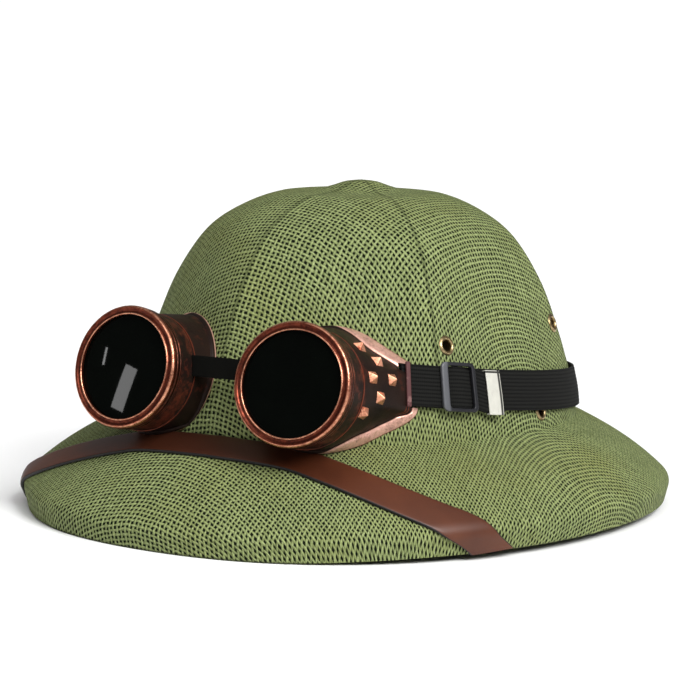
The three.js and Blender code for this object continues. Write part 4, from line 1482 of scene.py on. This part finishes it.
def straw_material():
    """Flat straws in a plain open weave, pressed over the mould, with small dark holes."""
    paint = Finish("green_straw")
    cloth = paint.uv()
    place = paint.place()
    wander = paint.noise(cloth, 55, 2)
    drift = paint.noise(cloth, 90, 2, 0.6)
    kinks = paint.noise(cloth, 430, 1)
    bends = paint.noise(cloth, 390, 1)
    a = cloth.axis("X") / WEAVE_PITCH + (wander - 0.5) * WANDER + (kinks - 0.5) * KINK
    b = cloth.axis("Y") / WEAVE_PITCH + (drift - 0.5) * WANDER + (bends - 0.5) * KINK
    lot = paint.cell(paint.vector(a.floor(), b.floor()))
    strand_a = (a + 0.5).floor()
    strand_b = (b + 0.5).floor()
    tone_a = paint.cell(paint.vector(strand_a, 7, (b * 0.11).floor()))
    tone_b = paint.cell(paint.vector(3, strand_b, (a * 0.09).floor()))
    near_a = (a.fract() - 0.5).abs()
    near_b = (b.fract() - 0.5).abs()
    size_a = 0.215 + 0.1 * lot
    size_b = 0.2 + 0.1 * (lot * 7.3).fract()

    def gap(near, size):
        return 1 - near.step(size - 0.03, size + 0.04)

    def strand_height(near, strand, crossing, swing):
        """A straw's round section, higher and lower as it passes over and under."""
        sign = 1 - 4 * (strand * 0.5).fract()
        rounding = (1 - ((0.5 - near) * STRAW_ROUNDNESS) ** 2).max(0)
        return rounding * (0.62 + swing * (crossing * math.pi).cos() * sign)

    hole = gap(near_a, size_a) * gap(near_b, size_b)
    height_a = strand_height(near_a, strand_a, b, 0.38)
    height_b = strand_height(near_b, strand_b, a, -0.38)
    height = height_a.max(height_b)
    upper = (height_a - height_b).step(-0.06, 0.06)
    tone = tone_b + (tone_a - tone_b) * upper
    fibre = paint.noise(paint.vector(a * 1.2, b * 9), 1, 2)
    patches = paint.noise(place, 14, 3, 0.6)
    fleck = paint.noise(cloth, 1150, 3, 0.75)
    # Painted shade and highlight: the straws are lighter where they stand high and darker at their
    # edges and where they dip under.
    colour = paint.mix((0.030, 0.043, 0.010), (0.306, 0.362, 0.148), height * 0.74 + tone * 0.26)
    colour = paint.mix(colour, (0.19, 0.20, 0.055), (patches - 0.47).max(0) * 1.8)
    colour = paint.mix(colour, (0.46, 0.50, 0.25), (fibre - 0.56).max(0) * 1.5)
    colour = paint.mix(colour, (0.055, 0.070, 0.022), (0.46 - fleck).max(0) * 4.2)
    colour = paint.mix(colour, (0.52, 0.58, 0.36), (fleck - 0.56).max(0) * 3.4)
    # Painted shade along the crown's creases.
    colour = paint.mix(colour, (0.030, 0.038, 0.012), crease_shade_line(place) * 0.5)
    # The holes are painted near black: partly the dark lining seen through them, partly painted
    # shade from inside the helmet.
    colour = paint.mix(colour, (0.004, 0.006, 0.002), hole)
    # Darker towards the foot of the turned edge, over a short step.
    foot = 1 - place.axis("Z").step(*FOOT_RISES)
    colour = paint.mix(colour, (0.02, 0.024, 0.012), foot * 0.85)
    return paint.set(
        base_color=colour,
        roughness=0.72 + 0.2 * hole,
        specular_ior_level=0.1,
        normal=paint.bump(height * (1 - hole), 0.55 * MM, 0.75),
    )


def brass_material():
    paint = Finish("eyelet_brass")
    place = paint.place()
    stain = paint.noise(place, 420, 3, 0.6)
    scratch = paint.noise(place, 1600, 2)
    colour = paint.mix((0.50, 0.38, 0.20), (0.13, 0.085, 0.035), (stain - 0.36).max(0) * 3)
    return paint.set(
        base_color=colour,
        metallic=1.0,
        roughness=0.2 + 0.3 * stain,
        normal=paint.bump(scratch, 0.05 * MM, 0.3),
    )


def leather_material():
    """Glossy brown leather with black painted edges. Its UV runs along it and across."""
    paint = Finish("band_leather")
    uv = paint.uv()
    place = paint.place()
    across = uv.axis("Y")
    edge = (across - 0.5).abs().step(0.462, 0.49)
    tone = paint.noise(place, 26, 3, 0.55)
    grain = paint.speckle(place, 1500)
    pores = paint.noise(place, 2300, 2)
    colour = paint.mix((0.034, 0.008, 0.003), (0.110, 0.027, 0.007), tone * 1.5 - 0.25)
    colour = paint.mix(colour, (0.035, 0.010, 0.006), (0.5 - grain).max(0) * 0.35)
    # Painted shade: the leather is darkened where it passes under the goggles.
    goggle_shade = 1 - (uv.axis("X") - GOGGLE_SHADE_MIDDLE).abs().step(GOGGLE_SHADE_CORE, GOGGLE_SHADE_REACH)
    colour = paint.mix(colour, (0.016, 0.005, 0.003), goggle_shade * 0.62)
    colour = paint.mix(colour, (0.006, 0.005, 0.005), edge)
    return paint.set(
        base_color=colour,
        roughness=0.4 + 0.14 * tone,
        specular_ior_level=0.35,
        coat_weight=0.16 - 0.14 * edge,
        coat_roughness=0.3,
        normal=paint.bump(grain * 0.6 + pores * 0.4, 0.08 * MM, 0.45),
    )


COPPER = (0.25, 0.055, 0.028)
COPPER_BRIGHT = (0.74, 0.34, 0.21)
BORDER_COPPER = (0.80, 0.47, 0.38)
OXIDE = (0.030, 0.008, 0.005)


def aged_copper(paint, place):
    """Mottled copper over dark oxide, and how much of it is oxide."""
    clouds = paint.noise(place, 170, 5, 0.68)
    specks = paint.noise(place, 900, 3, 0.7)
    dark = ((clouds - 0.42) * 3.2 + (specks - 0.5) * 2.2).clamp()
    colour = paint.mix(COPPER, OXIDE, dark)
    return colour, dark, specks


def copper_material():
    """The rings: worn copper with a painted highlight on the lip and the outer bead, oxide in the
    groove and on the barrel. The UV runs round, and along in metres from the lip's crest."""
    paint = Finish("antique_copper")
    place = paint.place()
    along = paint.uv().axis("Y") / MM
    colour, dark, specks = aged_copper(paint, place)
    scuffs = paint.noise(place, 320, 4, 0.7)
    groove = along.band(1.75, 1.0, 0.5)
    barrel = along.step(5.2, 6.2)
    colour = paint.mix(colour, (0.050, 0.010, 0.006), groove * (0.55 + 0.45 * dark))
    colour = paint.mix(colour, (0.026, 0.012, 0.008), barrel * (0.7 + 0.3 * dark))
    # The bright bands on the lip and the outer bead are partly worn copper and partly painted
    # highlight.
    worn = along.band(0, 0.25, 0.3) + along.band(4, 0.35, 0.6) * 0.9
    worn = (worn * (scuffs * 3.4 - 1.0)).clamp()
    colour = paint.mix(colour, COPPER_BRIGHT, worn)
    return paint.set(
        base_color=colour,
        metallic=0.92,
        roughness=(0.28 + 0.26 * dark - 0.06 * worn).clamp(),
        normal=paint.bump(specks, 0.06 * MM, 0.5),
    )


def cup_material():
    """Black paint over copper, worn through at the step and the border. The UV holds the angle
    round the cup and the zone along it, and the studs' height above their zone."""
    paint = Finish("cup_paint")
    place = paint.place()
    uv = paint.uv()
    zone = uv.axis("Y")
    toward_lug = (uv.axis("X") * 2 * math.pi - LUG_TURN).cos()
    colour, dark, specks = aged_copper(paint, place)
    rubs = paint.noise(place, 110, 5, 0.72)
    streaks = paint.noise(place, 60, 2)
    scuff = ((rubs - 0.5) * 5).clamp()
    black = paint.mix((0.005, 0.003, 0.003), (0.018, 0.009, 0.006), streaks * 1.4 - 0.2)
    panel = zone.step(STEP_ZONE - 0.02, STEP_ZONE + 0.03)
    neck_rub = ((rubs - 0.47) * 4).clamp() * (1 - panel) * 0.75
    panel_rub = ((rubs - 0.56) * 4).clamp() * panel * 0.35
    bare = paint.mix(black, colour, neck_rub + panel_rub)
    slots = zone.band(0.672, 0.003, 0.003) + zone.band(0.652, 0.002, 0.003)
    slots = slots * toward_lug.step(math.cos(LUG_PANEL[1]), math.cos(LUG_PANEL[0])) * 0.6
    line = zone.band(0.305, 0.004, 0.006) * (rubs * 2 - 0.4).clamp() + slots
    bare = paint.mix(bare, COPPER, line)
    start = 0.86 - 0.14 * toward_lug.step(-0.2, 0.3)
    border = (zone - start).step(-0.01, 0.02) * (1 - zone.step(1.05, 1.1))
    bright = paint.mix(BORDER_COPPER, colour, (dark * 0.5 + (rubs - 0.5) * 1.2).clamp())
    rim = zone.band(0.94, 0.015, 0.02)
    bright = paint.mix(bright, (0.20, 0.045, 0.022), rim * 0.85)
    inner_edge = (zone - start).band(-0.015, 0.012, 0.012)
    bright = paint.mix(bright, COPPER_BRIGHT, inner_edge)
    bare = paint.mix(bare, bright, border)
    skirt = zone.band(1, 0.03, 0.015)
    bare = paint.mix(bare, (0.010, 0.008, 0.007), skirt)
    lug_bar = zone.band(LUG_BAR_ZONE, 0.1, 0.1)
    bare = paint.mix(bare, paint.mix((0.085, 0.034, 0.034), (0.40, 0.23, 0.21), scuff), lug_bar)
    stud = zone.step(STUD_ZONE - 0.1, STUD_ZONE - 0.05)
    worn = (dark * 1.2 - (zone - STUD_ZONE) * 0.4).clamp()
    stud_colour = paint.mix(COPPER_BRIGHT, COPPER, worn)
    bare = paint.mix(bare, stud_colour, stud)
    metal = neck_rub + panel_rub + line + border * (1 - skirt) * 0.7 + stud * 0.85
    metal = metal.clamp()
    return paint.set(
        base_color=bare,
        metallic=metal * 0.92,
        roughness=(0.44 - 0.1 * metal + 0.12 * dark).clamp(),
        specular_ior_level=0.1,
        normal=paint.bump(specks, 0.06 * MM, 0.45),
    )


def glass_material():
    paint = Finish("lens_glass")
    place = paint.place()
    smear = paint.noise(place, 60, 3, 0.6)
    dust = paint.speckle(place, 900)
    colour = paint.mix((0.0006, 0.0008, 0.0006), (0.0014, 0.0020, 0.0015), smear)
    return paint.set(
        base_color=colour,
        roughness=0.012 + 0.012 * smear,
        specular_ior_level=0.05,
        normal=paint.bump(dust, 0.01 * MM, 0.02),
    )


def webbing_material():
    """Black ribbed elastic. Its UV runs along it and across, in metres."""
    paint = Finish("elastic_webbing")
    uv = paint.uv()
    along = uv.axis("X") / MM
    across = uv.axis("Y") / MM
    knit = (along * 2 * math.pi / 0.9).sin() * 0.5 + 0.5
    rib = (across * math.pi / (ELASTIC_WIDTH / RIBS / MM)).sin().abs()
    lint = paint.noise(paint.vector(along, across), 2.2, 3, 0.7)
    colour = paint.mix((0.002, 0.002, 0.002), (0.013, 0.013, 0.012), rib * 0.7 + knit * 0.2)
    colour = paint.mix(colour, (0.025, 0.025, 0.024), (lint - 0.58).max(0) * 1.4)
    return paint.set(
        base_color=colour,
        roughness=0.82,
        sheen_weight=0.015,
        specular_ior_level=0.05,
        normal=paint.bump(knit * 0.5 + rib * 0.5, 0.12 * MM, 0.5),
    )


def moulded_plastic(paint, low, high):
    """Cloudy plastic: its colour, its clouds and its grain as a bumped normal."""
    place = paint.place()
    cloud = paint.noise(place, 90, 3)
    grain = paint.noise(place, 2600, 2)
    return paint.mix(low, high, cloud), cloud, paint.bump(grain, 0.03 * MM, 0.25)


def bridge_material():
    paint = Finish("bridge_plastic")
    colour, cloud, grain = moulded_plastic(paint, (0.002, 0.002, 0.002), (0.004, 0.004, 0.003))
    return paint.set(
        base_color=colour,
        roughness=0.5 + 0.12 * cloud,
        specular_ior_level=0.05,
        normal=grain,
    )


def slider_material():
    """Black moulded plastic with a lighter grey near bar, partly wear and partly painted sheen.
    Its UV runs along the strap and across, in metres."""
    paint = Finish("slider_plastic")
    colour, cloud, grain = moulded_plastic(paint, (0.008, 0.008, 0.010), (0.016, 0.016, 0.019))
    travel = paint.uv().axis("X")
    # Painted sheen on the near bar, over plastic worn lighter grey.
    near = 1 - travel.step(SLIDER_START + 2.4 * MM, SLIDER_START + 3.8 * MM)
    return paint.set(
        base_color=paint.mix(colour, (0.078, 0.080, 0.088), near),
        roughness=0.3 + 0.12 * cloud,
        specular_ior_level=0.35,
        normal=grain,
    )


def chrome_material():
    """Bright plating, dark along its upper and far edges. Its UV is like the slider's."""
    paint = Finish("clip_chrome")
    place = paint.place()
    uv = paint.uv()
    travel = uv.axis("X") - CLIP_START
    across = uv.axis("Y") + TAIL_DROOP
    edge = travel.band(CLIP_LENGTH - 1.1 * MM, 0.45 * MM, 0.35 * MM)
    edge = edge.max(across.band(CLIP_WIDTH / 2 - 0.8 * MM, 0.3 * MM, 0.3 * MM))
    haze = paint.noise(place, 300, 3)
    brush = paint.noise(paint.vector(uv.axis("X") * 8, uv.axis("Y")), 220, 2)
    plate = paint.mix((0.64, 0.63, 0.56), (0.50, 0.49, 0.44), haze)
    return paint.set(
        base_color=paint.mix(plate, (0.030, 0.030, 0.026), edge),
        metallic=0.15,
        roughness=0.24 + 0.1 * brush,
        normal=paint.bump(brush, 0.02 * MM, 0.2),
    )


# The helmet, piece by piece

webbing = webbing_material()
brass = brass_material()
cup_paint = cup_material()
copper = copper_material()
glass = glass_material()
finish(shell_piece(), straw_material(), "straw", "shell")
for name, origin, axis in eyelet_spots():
    finish(eyelet_piece(f"fine_{name}", origin, axis), brass, "eyelet_brass", name)
finish(leather_piece(), leather_material(), "band_leather", "leather_strap")
for label, cup in cups.items():
    finish(cup_piece(label, cup), cup_paint, "cup_shell", f"goggle_cup_{label}")
    finish(ring_piece(label, cup), copper, "antique_copper", f"lens_ring_{label}")
    finish(lens_piece(label, cup), glass, "lens_glass", f"lens_{label}")
finish(bridge_piece(), bridge_material(), "black_plastic", "bridge_strap")
finish(elastic_piece(), webbing, "elastic_webbing", "goggle_strap")
finish(tail_piece(), webbing, "elastic_webbing", "strap_tail")
finish(slider_piece(), slider_material(), "black_plastic", "strap_slider")
finish(clip_piece(), chrome_material(), "clip_chrome", "strap_end_clip")


# Floor, light and camera

FLOOR_SIZE = 6
ROOM_LIGHT = 0.22
PAPER_LIGHT = 1.05

# Broad soft suns: azimuth, elevation and spread in degrees, and strength
SUNS = {
    "key": (72, 39, 32, 3.35),
    "fill": (34, 50, 56, 1.45),
}

# Small lamps that show as glints in the left lens: azimuth and elevation in degrees, width and
# height in metres, power, and lean in degrees
LAMPS = {
    "window": (-36.6, 10.6, (0.05, 0.13), 0.58, -6),
    "slit": (-40.6, 13, (0.008, 0.05), 0.05, 8),
}
LAMP_DISTANCE = 1.6

CAMERA_AZIMUTH = 34.0
CAMERA_ELEVATION = 7.15
CAMERA_ROLL = math.radians(1.78)
CAMERA_DISTANCE = 1.365
CAMERA_LENS = 146.9
CAMERA_SENSOR = 36
CAMERA_SHIFT = (-0.0109, -0.0032)
CAMERA_NEAR = 0.01
CAMERA_TARGET = Vector((0, 0, 0.0735))


def floor_piece():
    bpy.ops.mesh.primitive_plane_add(size=FLOOR_SIZE, location=(0, 0, 0))
    floor = bpy.context.object
    floor.name = "floor"
    settle(floor)
    paint = Finish("floor_paint")
    paint.set(base_color=(0.93, 0.93, 0.93), roughness=1.0, specular_ior_level=0.0)
    floor.data.materials.append(paint.material)
    floor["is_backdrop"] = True


def bearing(azimuth, elevation):
    """The direction from the helmet towards an azimuth and an elevation in degrees."""
    azimuth, elevation = math.radians(azimuth), math.radians(elevation)
    level = math.cos(elevation)
    return Vector((math.sin(azimuth) * level, -math.cos(azimuth) * level, math.sin(elevation)))


def add_object(name, data):
    added = bpy.data.objects.new(name, data)
    bpy.context.collection.objects.link(added)
    return added


def sun_light(name, azimuth, elevation, spread, strength):
    data = bpy.data.lights.new(name, "SUN")
    data.energy = strength
    data.angle = math.radians(spread)
    away = bearing(azimuth, elevation)
    add_object(name, data).rotation_euler = away.to_track_quat("Z", "Y").to_euler()


def area_light(name, azimuth, elevation, size, power, lean):
    """A lamp that faces the middle of the helmet, turned about its own axis by its lean."""
    data = bpy.data.lights.new(name, "AREA")
    data.shape = "RECTANGLE"
    data.size, data.size_y = size
    data.energy = power
    light = add_object(name, data)
    away = bearing(azimuth, elevation)
    light.location = away * LAMP_DISTANCE + CAMERA_TARGET
    upright = (-away).to_track_quat("-Z", "Y").to_matrix()
    light.rotation_euler = (upright @ Matrix.Rotation(math.radians(lean), 3, "Z")).to_euler()


def camera_piece():
    away = bearing(CAMERA_AZIMUTH, CAMERA_ELEVATION)
    right = bearing(CAMERA_AZIMUTH + 90, 0)
    up = away.cross(right)
    tilted = right * math.cos(CAMERA_ROLL) + up * math.sin(CAMERA_ROLL)
    data = bpy.data.cameras.new("camera")
    data.lens = CAMERA_LENS
    data.sensor_width = CAMERA_SENSOR
    data.shift_x, data.shift_y = CAMERA_SHIFT
    data.clip_start = CAMERA_NEAR
    camera = add_object("camera", data)
    camera.matrix_world = frame_matrix(
        CAMERA_TARGET + away * CAMERA_DISTANCE, tilted, away.cross(tilted), away,
    )
    bpy.context.scene.camera = camera


def studio():
    """A dim even room that looks white behind the helmet, with its suns and lamps."""
    world = bpy.data.worlds.new("studio")
    world.use_nodes = True
    tree = world.node_tree
    room = tree.nodes["Background"]
    paper = tree.nodes.new("ShaderNodeBackground")
    for white, strength in ((room, ROOM_LIGHT), (paper, PAPER_LIGHT)):
        white.inputs["Color"].default_value = (1, 1, 1, 1)
        white.inputs["Strength"].default_value = strength
    seen = tree.nodes.new("ShaderNodeLightPath")
    choice = tree.nodes.new("ShaderNodeMixShader")
    tree.links.new(seen.outputs["Is Camera Ray"], choice.inputs[0])
    tree.links.new(room.outputs[0], choice.inputs[1])
    tree.links.new(paper.outputs[0], choice.inputs[2])
    tree.links.new(choice.outputs[0], tree.nodes["World Output"].inputs["Surface"])
    bpy.context.scene.world = world
    bpy.context.scene.view_settings.view_transform = "Standard"
    for name, settings in SUNS.items():
        sun_light(name, *settings)
    for name, settings in LAMPS.items():
        area_light(name, *settings)


floor_piece()
studio()
camera_piece()
plain = [[list(map(float, corner)) for corner in box] for box in (frame_box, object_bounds())]
